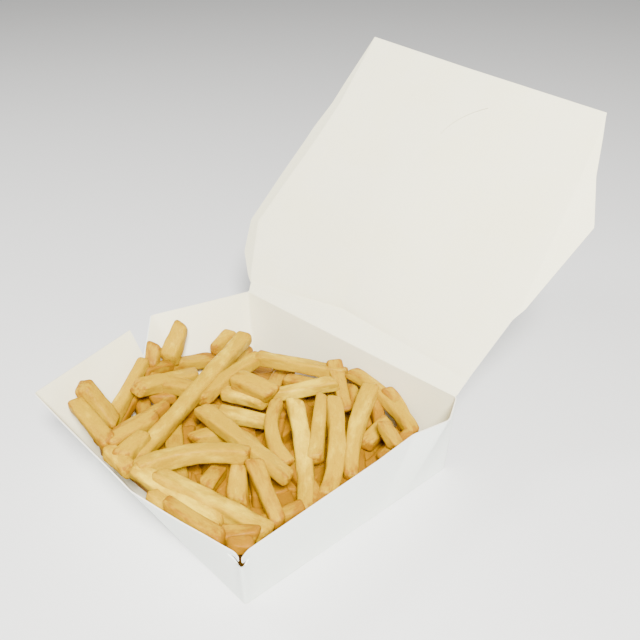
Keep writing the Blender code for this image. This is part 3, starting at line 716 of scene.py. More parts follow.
def fry_surface(centre, width, draw):
    """One fry as a closed grid, with its looks as values at each point.

    The section is a superellipse, |x/a|^p + |y/b|^p = 1, turned slowly along the fry. Its
    faces are dented by the squared cosine of twice the angle, soft noise makes it uneven,
    and near each end it shrinks as (1 - (1 - d/e)^q)^(1/q) of the distance d to a slanted cut.
    """
    length = np.linalg.norm(np.diff(centre, axis=0), axis=1).sum()
    count = max(LEAST_RINGS, int(length / ALONG_STEP))
    share = np.linspace(0.0, 1.0, count + 1)
    ease = END_ROUNDING / length
    ends = np.array(END_STATIONS) * ease
    between = share[(share > ease) & (share < 1.0 - ease)]
    share = np.unique(np.concatenate([ends, between, 1.0 - ends]))
    line = resample(centre, share)
    along, across, up = frames_along(line)
    turn = np.linspace(0.0, 2.0 * math.pi, ROUND_POINTS, endpoint=False)[None, :]
    distance = (share * length)[:, None]
    to_end = np.minimum(distance, length - distance)
    power = 2.0 / (SQUARENESS + draw.uniform(-SQUARENESS_SPREAD, SQUARENESS_SPREAD))
    wide = 0.5 * width * draw.uniform(*BREADTHS)
    tall = 0.5 * width * draw.uniform(*DEPTHS)
    grow = 1.0 + UNEVEN * smooth_noise(distance, turn, draw, *BROAD_NOISE)
    grow = grow + FINE_SHARE * UNEVEN * smooth_noise(distance, turn * 2.0, draw, *FINE_NOISE)
    taper = draw.uniform(-TAPER, TAPER)
    grow = grow * (1.0 + taper * (2.0 * distance / length - 1.0))
    flat = np.cos(2.0 * turn) ** 2
    dent = DENT * (1.0 + DENT_CHANGE * smooth_noise(distance, turn, draw, *DENT_NOISE))
    grow = grow * (1.0 - dent * flat)
    shrink = np.clip(to_end / END_ROUNDING, 0.0, 1.0)
    shrink = (1.0 - (1.0 - shrink) ** END_POWER) ** (1.0 / END_POWER)
    shrink = END_LEAST + (1.0 - END_LEAST) * shrink
    x = np.sign(np.cos(turn)) * np.abs(np.cos(turn)) ** power * wide * grow * shrink
    y = np.sign(np.sin(turn)) * np.abs(np.sin(turn)) ** power * tall * grow * shrink
    roll = draw.uniform(-0.5, 0.5) * TWIST
    roll = roll + TWIST * draw.uniform(-1.0, 1.0) * (distance / length - 0.5)
    x, y = x * np.cos(roll) - y * np.sin(roll), x * np.sin(roll) + y * np.cos(roll)
    slants = draw.uniform(-SLANT, SLANT, 4)
    near = np.clip(1.0 - distance / (SLANT_REACH * width), 0.0, 1.0) ** 2
    far = np.clip(1.0 - (length - distance) / (SLANT_REACH * width), 0.0, 1.0) ** 2
    push = near * (slants[0] * x + slants[1] * y) + far * (slants[2] * x + slants[3] * y)
    points = (line[:, None, :] + across[:, None, :] * x[..., None] + up[:, None, :] * y[..., None]
              + along[:, None, :] * push[..., None])
    edge = 1.0 - flat * np.ones_like(distance)
    end = np.exp(-to_end / (END_TONE_REACH * width)) * np.ones_like(turn)
    grain = np.stack([distance * np.ones_like(turn) * GRAIN_STRETCH, x, y], axis=-1)
    grain = grain + draw.uniform(-GRAIN_SHIFT, GRAIN_SHIFT, 3)
    return points, edge, end, grain


def grid_quads(rows, columns, closed):
    """The four-sided faces of a grid of points, closed round its columns or open."""
    steps = columns if closed else columns - 1
    row, column = np.meshgrid(np.arange(rows - 1), np.arange(steps), indexing="ij")
    after = (column + 1) % columns
    return np.stack([row * columns + column, row * columns + after,
                     (row + 1) * columns + after, (row + 1) * columns + column], axis=-1).reshape(-1, 4)


def tube_faces(rows, columns, first):
    """The faces of a closed grid, its two ends capped by one face each."""
    faces = (grid_quads(rows, columns, True) + first).tolist()
    faces.append((np.arange(columns)[::-1] + first).tolist())
    faces.append((np.arange(columns) + first + (rows - 1) * columns).tolist())
    return faces


def to_frame(points):
    """Millimetres from the hinge's left end to metres in the part's frame."""
    return (np.asarray(points).reshape(-1, 3) + SHIFT) * MM


def new_object(name, points, faces, materials):
    """A mesh object at the origin from points in millimetres and lists of point numbers."""
    mesh = bpy.data.meshes.new(name)
    mesh.from_pydata(to_frame(points).tolist(), [], faces)
    for finish in materials:
        mesh.materials.append(finish)
    item = bpy.data.objects.new(name, mesh)
    bpy.context.scene.collection.objects.link(item)
    return item


def store(mesh, name, values, kind="FLOAT"):
    """Keeps one value, or one vector, at each point of a mesh under a name."""
    layer = mesh.attributes.new(name, kind, "POINT")
    key = "vector" if kind == "FLOAT_VECTOR" else "value"
    layer.data.foreach_set(key, np.ascontiguousarray(values, dtype=np.float32).ravel())


def store_looks(item, tone, edge, end, grain):
    """Keeps what the skin of the fries reads at each point, and smooths the shading."""
    store(item.data, "tone", tone)
    store(item.data, "edge", edge)
    store(item.data, "end", end)
    store(item.data, "grain", grain, "FLOAT_VECTOR")
    item.data.shade_smooth()


def fry_object(name, fries, finish, seed):
    """Many fries as one mesh: each is a centre line, a width and a tone. Below a set height the tone is
    raised towards brown as painted shade.
    """
    points, faces, looks = [], [], []
    first = 0
    for number, (centre, width, tone) in enumerate(fries):
        draw = np.random.default_rng(SEED_STEP * seed + number)
        grid, edge, end, grain = fry_surface(centre, width, draw)
        faces.extend(tube_faces(grid.shape[0], grid.shape[1], first))
        first += grid.shape[0] * grid.shape[1]
        points.append(grid.reshape(-1, 3))
        # Painted shade: the lower a point lies, the browner its tone.
        painted_shade_share = np.clip(1.0 - grid[..., 2] / PAINTED_SHADE_LEVEL, 0.0, 1.0)
        toned_with_painted_shade = tone + DEPTH_PAINTED_SHADE * painted_shade_share
        looks.append((toned_with_painted_shade.ravel(), edge.ravel(), end.ravel(), grain.reshape(-1, 3)))
    item = new_object(name, np.concatenate(points), faces, [finish])
    store_looks(item, *(np.concatenate(values) for values in zip(*looks)))
    return item


def laid_fries():
    """The part's own fries, each with its tone: filling, standing, then main."""
    fries = lay_fries()
    main = len(fries) - len(MAIN_FRIES)
    filling = main - len(STANDING_FRIES)
    draw = np.random.default_rng(LOOK_SEED)
    tones = np.clip(draw.normal(FILLING_TONE, FILLING_TONE_SPREAD, filling), *FILLING_TONE_RANGE)
    tones = [*tones, *STANDING_TONES, *MAIN_TONES]
    return [(centre, width, tone) for (centre, width), tone in zip(fries, tones)]


def deep_fries():
    """Fries low in the tray, seen only through the gaps: each rests on the lump alone."""
    draw = np.random.default_rng(DEEP_SEED)
    found = []
    while len(found) < DEEP_COUNT:
        width = float(draw.uniform(*DEEP_WIDTHS))
        length = float(draw.uniform(*DEEP_LENGTHS))
        turn = draw.uniform(0.0, math.pi)
        middle = draw.uniform(FILL_LOW, FILL_HIGH)
        height = draw.uniform(DEEP_FOOT, DEEP_TOP - 0.5 * width)
        tilt = draw.uniform(-DEEP_TILT, DEEP_TILT)
        half = 0.5 * length * np.array([math.cos(turn), math.sin(turn)])
        lowest = height - abs(tilt)
        start = keep_clear(middle - half, lowest, width)
        end = keep_clear(middle + half, lowest, width)
        plan = clear_line(start, end, draw.normal(0.0, DEEP_BOW), lowest, width)
        rise = np.linspace(-tilt, tilt, len(plan))
        # The deep fries' browner tone is painted shade in the gaps.
        found.append((np.column_stack([plan, height + rise]), width, DEEP_SHADED_TONE))
    return found


def low_fries():
    """Fries low at the walls, each raised along its lines of sight until it clears the board."""
    share = np.linspace(0.0, 1.0, LINE_POINTS)[:, None]
    found = []
    for first, last, width, height in LOW_FRIES:
        start = clear_place(first, height, width)
        end = clear_place(last, height, width)
        # The low fries' browner tone is painted shade in the gaps.
        found.append((start * (1.0 - share) + end * share, width, DEEP_SHADED_TONE))
    return found


def lump_surface():
    """The lump under the fries: its top over a grid, closed by sides and a flat foot."""
    columns, rows = LUMP_CELLS
    margin = BOARD + LUMP_CLEARANCE
    x = np.linspace(FLOOR_FRONT_LEFT[0] + margin, FLOOR_FRONT_RIGHT[0] - margin, columns)
    y = np.linspace(FLOOR_FRONT_LEFT[1] + margin, FLOOR_REAR_LEFT[1] - margin, rows)
    x, y = np.meshgrid(x, y, indexing="ij")
    sway = LUMP_SWAY * np.sin(y / LUMP_WAVES[1])
    ripple = LUMP_RIPPLE * np.sin(x / LUMP_WAVES[0] + sway) * np.cos(y / LUMP_WAVES[2])
    top = core_height(x, y) + ripple
    upper = np.stack([x, y, top], axis=-1).reshape(-1, 3)
    lower = np.stack([x, y, np.full_like(x, BOARD + CORE_FOOT)], axis=-1).reshape(-1, 3)
    points = np.concatenate([upper, lower])
    faces = grid_quads(columns, rows, False)[:, [0, 3, 2, 1]]
    under = faces[:, ::-1] + columns * rows
    ring = np.concatenate([
        np.arange(columns) * rows, (columns - 1) * rows + np.arange(1, rows),
        np.arange(columns - 1)[::-1] * rows + rows - 1, np.arange(1, rows - 1)[::-1]])
    after = np.roll(ring, -1)
    sides = np.stack([ring + columns * rows, after + columns * rows, after, ring], axis=-1)
    return points, np.concatenate([faces, under, sides]).tolist()


def smooth_closed(line, sigma):
    """A closed line of even steps with its corners rounded, by a moving bell-shaped mean."""
    reach = int(4 * sigma) + 1
    weights = np.exp(-0.5 * (np.arange(-reach, reach + 1) / sigma) ** 2)
    weights = weights / weights.sum()
    total = np.zeros_like(line)
    for offset, weight in zip(range(-reach, reach + 1), weights):
        total = total + weight * np.roll(line, offset, axis=0)
    return total


def tray_outline():
    """Matching rim and floor points at even steps round the tray, and the rim's height.

    Each side is its straight line plus its bow, and every fold is then rounded.
    """
    rim, floor, dips = [], [], []
    for number, (rim_start, rim_end, floor_start, floor_end, bow, below) in enumerate(side_table()):
        length = np.linalg.norm(np.subtract(rim_end, rim_start))
        share = np.linspace(0.0, 1.0, int(length / OUTLINE_STEP), endpoint=False)[:, None]
        under = bow_at(share, below)
        above = np.multiply(rim_start, 1.0 - share) + np.multiply(rim_end, share)
        rim.append(above + outward(rim_start, rim_end) * bow_at(share, bow))
        floor.append(np.multiply(floor_start, 1.0 - under) + np.multiply(floor_end, under))
        to_corner = (1.0 - share, share, np.ones_like(share), np.ones_like(share))[number]
        dips.append(CORNER_DIP * np.clip(1.0 - length * to_corner / DIP_REACH, 0.0, 1.0) ** 2)
    sigma = FOLD_SIGMA / OUTLINE_STEP
    dip = np.concatenate(dips)[:, 0]
    return smooth_closed(np.concatenate(rim), sigma), smooth_closed(np.concatenate(floor), sigma), dip


def tray_surface():
    """The outside of the tray: rings of the floor, a rounded fold, and walls up to the rim.

    A wall point is floor * (1 - v) + rim * v, pushed along the wall's normal by a slow wave
    that is still at the folds.
    """
    rim, floor, dip = tray_outline()
    count = len(rim)
    middle = floor.mean(axis=0)
    inward = units(middle - floor)
    level = np.zeros(count)
    rows = [np.column_stack([middle + (floor - middle) * ring, level]) for ring in FLOOR_RINGS]
    for step, lift in FOLD_RINGS:
        rows.append(np.column_stack([floor + inward * step, np.full(count, lift)]))
    run = np.roll(rim, -1, axis=0) - np.roll(rim, 1, axis=0)
    normal = units(np.column_stack([run[:, 1], -run[:, 0]]))
    walk = np.arange(count) * OUTLINE_STEP
    waves = np.sin(walk / WALL_WAVES[0]) + SECOND_WAVE * np.sin(walk / WALL_WAVES[1] + 1.0)
    for share in (*LOW_WALL_LINES, *np.linspace(WALL_LINES_START, 1.0, WALL_LINES)):
        wave = WAVE * math.sin(math.pi * share * WAVE_FADE) * waves
        plan = floor * (1.0 - share) + rim * share + normal * wave[:, None]
        rows.append(np.column_stack([plan, share * (RIM_HEIGHT - dip * share ** DIP_POWER)]))
    points = np.concatenate([[[*middle, 0.0]], np.concatenate(rows)])
    faces = [[0, 1 + (index + 1) % count, 1 + index] for index in range(count)]
    return points, faces + (grid_quads(len(rows), count, True) + 1).tolist()


def finish_modifiers(item):
    """Applies every modifier of an object to its mesh."""
    view = bpy.context.evaluated_depsgraph_get()
    mesh = bpy.data.meshes.new_from_object(item.evaluated_get(view))
    item.modifiers.clear()
    item.data = mesh
    return item


def add_board(item, offset):
    """Gives a sheet the board's thickness; its other side and cut edge get finishes 1 and 2."""
    wall = item.modifiers.new("board", "SOLIDIFY")
    wall.thickness = BOARD * MM
    wall.offset = offset
    wall.use_even_offset = True
    wall.thickness_clamp = 0.0
    wall.material_offset = 1
    wall.material_offset_rim = 2


def prism(name, corners, start, end):
    """A closed prism between two copies of a flat outline, shifted by start and by end."""
    corners = np.asarray(corners, dtype=float)
    count = len(corners)
    points = np.concatenate([corners + start, corners + end])
    index = np.arange(count)
    after = (index + 1) % count
    faces = [index.tolist(), (index[::-1] + count).tolist()]
    faces = faces + np.stack([index, index + count, after + count, after], axis=-1).tolist()
    item = new_object(name, points, faces, [])
    bm = bmesh.new()
    bm.from_mesh(item.data)
    bmesh.ops.recalc_face_normals(bm, faces=bm.faces)
    bm.to_mesh(item.data)
    bm.free()
    return item


def cut(item, cutters):
    """Cuts closed bodies out of an object, applies it and removes them."""
    for cutter in cutters:
        tool = item.modifiers.new("cut", "BOOLEAN")
        tool.operation = "DIFFERENCE"
        tool.solver = "EXACT"
        tool.object = cutter
    finish_modifiers(item)
    for cutter in cutters:
        bpy.data.objects.remove(cutter, do_unlink=True)
    return item


def corner_notch():
    """The small opening at the near corner: a neck that widens below into two curved arms.

    Its outline faces the eye and is pushed through the corner along the line of sight.
    """
    middle = np.array([*RIM_FRONT_RIGHT, RIM_HEIGHT])
    ahead, right, up = eye_axes()
    outline = [middle + right * side + up * rise for side, rise in NOTCH_OUTLINE]
    return prism("corner_notch", outline, ahead * NOTCH_REACH[0], ahead * NOTCH_REACH[1])


def soften(item, degrees):
    """Smooth shading with every edge sharper than the given angle kept crisp."""
    item.data.shade_smooth()
    item.data.set_sharp_from_angle(angle=math.radians(degrees))


def rise_and_normal(angle):
    """The direction up a part of the lid at an angle from level, and its inward normal."""
    return (np.array([0.0, math.cos(angle), math.sin(angle)]),
            np.array([0.0, -math.sin(angle), math.cos(angle)]))


def lid_place(across_share, along_share):
    """A point of the lid's inner face, worked out for whole arrays, and the inward normal there.

    Below 0 the second share runs over the strip, from 0 to 1 over the panel. The panel is a
    plane at its rise plus the soft ridge, and the crease between strip and panel is a groove
    of a bell-shaped section.
    """
    crease = np.interp(across_share, STRIP_STATIONS, STRIP_WIDTHS)
    length = LID_LENGTH_LEFT + (LID_LENGTH_RIGHT - LID_LENGTH_LEFT) * across_share
    on_strip = along_share < 0.0
    along = np.where(on_strip, STRIP_START + (crease - STRIP_START) * (1.0 + along_share),
                     crease + (length - crease) * along_share)
    left = np.interp(along, *zip(*LID_LEFT))
    right = np.interp(along, *zip(*LID_RIGHT))
    across = left + (right - left) * across_share
    strip_part = np.minimum(along, crease)
    panel_part = np.maximum(along - crease, 0.0)
    y = HINGE_OUT + strip_part * math.cos(STRIP_RISE) + panel_part * math.cos(PANEL_RISE)
    z = RIM_HEIGHT + HINGE_UP + strip_part * math.sin(STRIP_RISE) + panel_part * math.sin(PANEL_RISE)
    bend = 0.5 + 0.5 * np.tanh((along - crease) / BEND_REACH)
    rise = STRIP_RISE + (PANEL_RISE - STRIP_RISE) * bend
    normal = np.stack([np.zeros_like(y), -np.sin(rise), np.cos(rise)], axis=-1)
    share = np.clip(panel_part / (length - crease), 0.0, 1.0)
    middle = RIDGE_START + (RIDGE_END - RIDGE_START) * share
    ridge = RIDGE_HEIGHT * np.sin(math.pi * share ** RIDGE_POWER)
    ridge = ridge * np.exp(-((across - middle) / RIDGE_SPREAD) ** 2)
    straight = STRIP_WIDTHS[0] + (STRIP_WIDTHS[-1] - STRIP_WIDTHS[0]) * across_share
    ridge = ridge + (crease - straight) * math.sin(PANEL_RISE - STRIP_RISE) * share
    groove = -CREASE_DEPTH * np.exp(-((along - crease) / CREASE_WIDTH) ** 2)
    wave = WAVE * np.sin(across / LID_WAVES[0] + along / LID_WAVES[1]) * np.sin(math.pi * share)
    points = np.stack([across, y, z], axis=-1) + normal * (ridge + groove + wave)[..., None]
    return points, normal, along


def lid_surface():
    """The inner face of the lid as one grid: strip, panel, and the two side flaps.

    A flap's point is its fold's point plus its width times a direction turned back from the
    panel. The turn grows over the first steps, so that the fold isn't knife-sharp.
    """
    strip = np.linspace(-1.0, 0.0, STRIP_LINES + 1)[:-1]
    shares = np.concatenate([strip, CREASE_LINES, np.linspace(PANEL_LINES_START, 1.0, PANEL_LINES)])
    across = np.linspace(0.0, 1.0, LID_COLUMNS)
    across_share, along_share = np.meshgrid(across, shares, indexing="xy")
    points, normal, along = lid_place(across_share, along_share)
    grid = [points]
    steps = np.array(FLAP_STEPS)
    sides = ((-1.0, 0, LEFT_FLAP, LEFT_FLAP_BACK), (1.0, -1, RIGHT_FLAP, RIGHT_FLAP_BACK))
    for side, column, table, back in sides:
        fold = points[:, column]
        width = np.interp(along[:, column], *zip(*table)) * (shares > 0.0)
        turned = back * np.clip(steps / FLAP_FOLD, 0.0, 1.0)
        reach = (width[:, None] * steps)[..., None]
        direction = (np.array([side, 0.0, 0.0]) * np.cos(turned)[None, :, None]
                     - normal[:, column][:, None, :] * np.sin(turned)[None, :, None])
        flap = fold[:, None, :] + direction * reach
        grid = [flap[:, ::-1]] + grid if side < 0.0 else grid + [flap]
    points = np.concatenate(grid, axis=1)
    return points.reshape(-1, 3), grid_quads(*points.shape[:2], False).tolist()


def merge_points(item, distance):
    """Merges points that lie together and drops faces without area."""
    bm = bmesh.new()
    bm.from_mesh(item.data)
    bmesh.ops.remove_doubles(bm, verts=bm.verts, dist=distance * MM)
    bmesh.ops.dissolve_degenerate(bm, edges=bm.edges, dist=FLAT_EDGE)
    bm.to_mesh(item.data)
    bm.free()


def lid_slit():
    """The thin curved slit in the panel: a band along an arc, pushed through the board."""
    share = np.linspace(0.0, 1.0, SLIT_POINTS)[:, None]
    first, pull, last = np.array(SLIT)
    line = (1 - share) ** 2 * first + 2 * share * (1 - share) * pull + share ** 2 * last
    run = units(np.gradient(line, axis=0))
    side = np.column_stack([run[:, 1], -run[:, 0]]) * 0.5 * SLIT_WIDTH
    ring = np.concatenate([line + side, (line - side)[::-1]])
    up, normal = rise_and_normal(PANEL_RISE)
    strip = STRIP_WIDTHS[1]
    base = np.array([0.0, HINGE_OUT, RIM_HEIGHT + HINGE_UP]) + strip * rise_and_normal(STRIP_RISE)[0]
    outline = base + np.outer(ring[:, 0], (1.0, 0.0, 0.0)) + np.outer(ring[:, 1] - strip, up)
    return prism("lid_slit", outline, normal * SLIT_REACH[0], normal * SLIT_REACH[1])


def hinge_surface():
    """The crease between tray and lid: a thin curved wall, extruded along the hinge.

    Its inner and outer lines are cubic curves from the rim, where they go up the wall, to
    the start of the lid, where they go up the strip.
    """
    strip, back = (direction[1:] for direction in rise_and_normal(STRIP_RISE))
    lid_inner = np.array([HINGE_OUT, RIM_HEIGHT + HINGE_UP]) + strip * STRIP_START
    lid_outer = lid_inner - back * BOARD
    lean = unit(np.array([-FLOOR_REAR_LEFT[1], RIM_HEIGHT]))
    tray_outer = np.array([0.0, RIM_HEIGHT])
    tray_inner = np.array([-BOARD, RIM_HEIGHT])
    share = np.linspace(0.0, 1.0, HINGE_CURVE_POINTS)[:, None]

    def curve(start, end, pull):
        first = start + lean * pull
        last = end - strip * pull
        return ((1 - share) ** 3 * start + 3 * share * (1 - share) ** 2 * first
                + 3 * share ** 2 * (1 - share) * last + share ** 3 * end)

    inner = curve(tray_inner, lid_inner, INNER_PULL)
    outer = curve(tray_outer, lid_outer, OUTER_PULL)
    ring = np.concatenate([outer, inner[::-1]])
    x = np.linspace(*HINGE_ENDS, HINGE_POINTS)
    points = np.array([[[place, y, z] for y, z in ring] for place in x])
    return points, tube_faces(len(x), len(ring), 0)


def set_inputs(node, values):
    for label, value in values:
        node.inputs[label].default_value = value


def feed(tree, inputs, values):
    """Gives each input a value or links it to a socket."""
    for socket, value in zip(inputs, values):
        if isinstance(value, bpy.types.NodeSocket):
            tree.links.new(value, socket)
        else:
            socket.default_value = value


def new_node(tree, kind):
    """Adds a node in the next free place, column by column from the left."""
    column, row = divmod(len(tree.nodes), NODE_ROWS)
    node = tree.nodes.new(kind)
    node.location = ((column - NODE_COLUMNS) * NODE_STEP[0], -row * NODE_STEP[1])
    return node


def mix_colour(tree, factor, first, second, blend="MIX"):
    """A colour mix; each of the three inputs is a socket or a value."""
    node = new_node(tree, "ShaderNodeMix")
    node.data_type = "RGBA"
    node.blend_type = blend
    feed(tree, [node.inputs[number] for number in MIX_INPUTS], (factor, first, second))
    return node.outputs[MIX_RESULT]


def math_of(tree, operation, *values, clamp=False):
    """A math node; each input is a socket or a value."""
    node = new_node(tree, "ShaderNodeMath")
    node.operation = operation
    node.use_clamp = clamp
    feed(tree, node.inputs, values)
    return node.outputs[0]


def noise_of(tree, vector, noise):
    """Noise over a vector; the value runs from about 0.25 to 0.75."""
    node = new_node(tree, "ShaderNodeTexNoise")
    set_inputs(node, zip(("Scale", "Detail", "Roughness"), noise))
    tree.links.new(vector, node.inputs["Vector"])
    return node.outputs["Fac"]


def range_of(tree, value, limits):
    """A smooth step of a value from one range to another, or to 0 to 1."""
    node = new_node(tree, "ShaderNodeMapRange")
    node.interpolation_type = "SMOOTHSTEP"
    tree.links.new(value, node.inputs["Value"])
    set_inputs(node, zip(("From Min", "From Max", "To Min", "To Max"), limits))
    return node.outputs["Result"]


def shaded(tree, colour, factor):
    """A colour times one factor in all three channels."""
    shade = new_node(tree, "ShaderNodeCombineColor")
    for socket in shade.inputs:
        tree.links.new(factor, socket)
    return mix_colour(tree, 1.0, colour, shade.outputs[0], "MULTIPLY")


def skin_nodes(group, given):
    """Fried potato: pale, golden and browned areas, dark freckles and a blistered skin."""
    broad, middle, fine, specks = [noise_of(group, given["Grain"], noise) for noise in SKIN_NOISES]
    # The tone read at each point holds painted shade low in the heap as well as real browning.
    tone = given["Tone"]
    for noise, share in ((broad, BROAD_SHARE), (middle, PATCH_SHARE)):
        change = math_of(group, "SUBTRACT", noise, NOISE_MEAN)
        tone = math_of(group, "MULTIPLY_ADD", change, share, tone)
    tone = math_of(group, "MULTIPLY_ADD", given["Edge"], EDGE_SHARE, tone)
    end = math_of(group, "MULTIPLY", given["End"], range_of(group, middle, END_RANGE))
    tone = math_of(group, "MULTIPLY_ADD", end, END_SHARE, tone, clamp=True)
    colour = given["Pale"]
    for value, limits, other in (
        (tone, GOLDEN_RANGE, "Golden"), (tone, BROWN_RANGE, "Brown"), (specks, FRECKLE_RANGE, "Brown"),
    ):
        colour = mix_colour(group, range_of(group, value, limits), colour, given[other])
    colour = shaded(group, colour, range_of(group, fine, STREAK_RANGE))
    heights = [math_of(group, "MULTIPLY", noise, share)
               for noise, share in zip((middle, fine), SKIN_HEIGHTS)]
    height = math_of(group, "ADD", *heights)
    return colour, range_of(group, middle, SKIN_ROUGHNESS), height


def board_nodes(group, given):
    """Coated board: faint clouds, fine fibres and their height."""
    clouds, fibres, felt = [noise_of(group, given["Place"], noise) for noise in BOARD_NOISES]
    share = math_of(group, "MULTIPLY", range_of(group, clouds, CLOUD_RANGE), given["Amount"])
    colour = mix_colour(group, share, given["Colour"], given["Cloud"])
    colour = shaded(group, colour, range_of(group, fibres, FLECK_RANGE))
    height = math_of(group, "MULTIPLY_ADD", fibres, FIBRE_HEIGHT, felt)
    return colour, range_of(group, felt, BOARD_ROUGHNESS), height


def look_group(name, inputs, fill):
    """A group that gives a look's colour, roughness and height; it is made once."""
    group = bpy.data.node_groups.get(name)
    if group:
        return group
    group = bpy.data.node_groups.new(name, "ShaderNodeTree")
    outputs = (("Colour", "Color"), ("Roughness", "Float"), ("Height", "Float"))
    for side, sockets in (("INPUT", inputs), ("OUTPUT", outputs)):
        for label, kind in sockets:
            group.interface.new_socket(name=label, in_out=side, socket_type="NodeSocket" + kind)
    results = fill(group, new_node(group, "NodeGroupInput").outputs)
    feed(group, new_node(group, "NodeGroupOutput").inputs, results)
    return group


def new_material(name):
    finish = bpy.data.materials.new(name)
    finish.use_nodes = True
    tree = finish.node_tree
    shader = tree.nodes["Principled BSDF"]
    return finish, tree, shader


def use_group(tree, shader, group, distance, strength):
    """Adds a look's group and links it to the shader, its height as a bump."""
    node = new_node(tree, "ShaderNodeGroup")
    node.node_tree = group
    bump = new_node(tree, "ShaderNodeBump")
    set_inputs(bump, (("Distance", distance), ("Strength", strength)))
    for source, target in (
        (node.outputs["Colour"], shader.inputs["Base Color"]),
        (node.outputs["Roughness"], shader.inputs["Roughness"]),
        (node.outputs["Height"], bump.inputs["Height"]),
        (bump.outputs["Normal"], shader.inputs["Normal"]),
    ):
        tree.links.new(source, target)
    return node


def fried_material(name, pale, golden, brown):
    """Fried potato in three colours, with some light under its skin and a little oil on it."""
    finish, tree, shader = new_material(name)
    group = look_group("fried_skin", SKIN_INPUTS, skin_nodes)
    skin = use_group(tree, shader, group, SKIN_BUMP, SKIN_BUMP_STRENGTH)
    for label in ("Grain", "Tone", "Edge", "End"):
        source = new_node(tree, "ShaderNodeAttribute")
        source.attribute_name = label.lower()
        tree.links.new(source.outputs["Vector" if label == "Grain" else "Fac"], skin.inputs[label])
    set_inputs(skin, (("Pale", (*pale, 1.0)), ("Golden", (*golden, 1.0)), ("Brown", (*brown, 1.0))))
    set_inputs(shader, SKIN_VALUES)
    return finish


def board_material(name, colour, cloud, amount, strength):
    """White coated board, evenly dull, with the grain of pressed fibre."""
    finish, tree, shader = new_material(name)
    place = new_node(tree, "ShaderNodeTexCoord")
    group = look_group("board_grain", BOARD_INPUTS, board_nodes)
    grain = use_group(tree, shader, group, BOARD_BUMP, strength)
    tree.links.new(place.outputs["Object"], grain.inputs["Place"])
    set_inputs(grain, (("Colour", (*colour, 1.0)), ("Cloud", (*cloud, 1.0)), ("Amount", amount)))
    set_inputs(shader, (("Specular IOR Level", BOARD_GLOSS),))
    return finish


def board_finishes(first_side):
    """The board's finishes in order: the given side, the other side and the cut edge."""
    looks = bpy.context.scene.carton_looks
    sides = [
        board_material(name, tuple(colour), cloud, BOARD_CLOUDS, BOARD_BUMP_STRENGTH)
        for name, colour, cloud in (
            ("board_inside", looks.inside_colour_and_bounce, INSIDE_CLOUD),
            ("board_outside", looks.outside_colour, OUTSIDE_CLOUD),
        )
    ]
    if first_side == "outside":
        sides.reverse()
    edge = board_material("board_cut_edge", EDGE_COLOUR, EDGE_CLOUD, EDGE_CLOUDS, EDGE_BUMP_STRENGTH)
    return sides + [edge]


class CartonLooks(bpy.types.PropertyGroup):
    """Colours of the board and of the floor."""

    # The inner face's cream is partly painted warm light thrown back by the fries.
    inside_colour_and_bounce: bpy.props.FloatVectorProperty(
        name="Inside", description="Colour of the board's inner face", subtype="COLOR", size=3,
        min=0.0, max=1.0, default=(0.94, 0.90, 0.66))
    outside_colour: bpy.props.FloatVectorProperty(
        name="Outside", description="Colour of the board's outer face", subtype="COLOR", size=3,
        min=0.0, max=1.0, default=(0.875, 0.925, 0.865))
    floor_colour: bpy.props.FloatVectorProperty(
        name="Floor", description="Colour of the floor under the carton", subtype="COLOR", size=3,
        min=0.0, max=1.0, default=(0.80, 0.80, 0.79))


class FryLooks(bpy.types.PropertyGroup):
    """Colours of the fries."""

    pale: bpy.props.FloatVectorProperty(
        name="Pale", description="Colour of the least fried parts", subtype="COLOR", size=3,
        min=0.0, max=1.0, default=(0.74, 0.51, 0.016))
    golden: bpy.props.FloatVectorProperty(
        name="Golden", description="Colour of the golden parts", subtype="COLOR", size=3,
        min=0.0, max=1.0, default=(0.46, 0.270, 0.0004))
    # The brown is also the colour of the painted shade on the low fries and the lump.
    brown: bpy.props.FloatVectorProperty(
        name="Brown", description="Colour of the browned ends and edges", subtype="COLOR", size=3,
        min=0.0, max=1.0, default=(0.235, 0.070, 0.0004))


class StageLooks(bpy.types.PropertyGroup):
    """Sizes and strengths of the stage."""

    floor_size: bpy.props.FloatProperty(
        name="Floor size", description="Side of the square floor", subtype="DISTANCE", unit="LENGTH",
        min=1.0, max=10.0, default=4.0)
    key_power: bpy.props.FloatProperty(
        name="Main light", description="Power of the main light", subtype="POWER", unit="POWER",
        min=0.0, max=200.0, default=50.0)
    sky_strength: bpy.props.FloatProperty(
        name="Surroundings", description="Strength of the even light from all around", min=0.0, max=3.0,
        default=0.40)


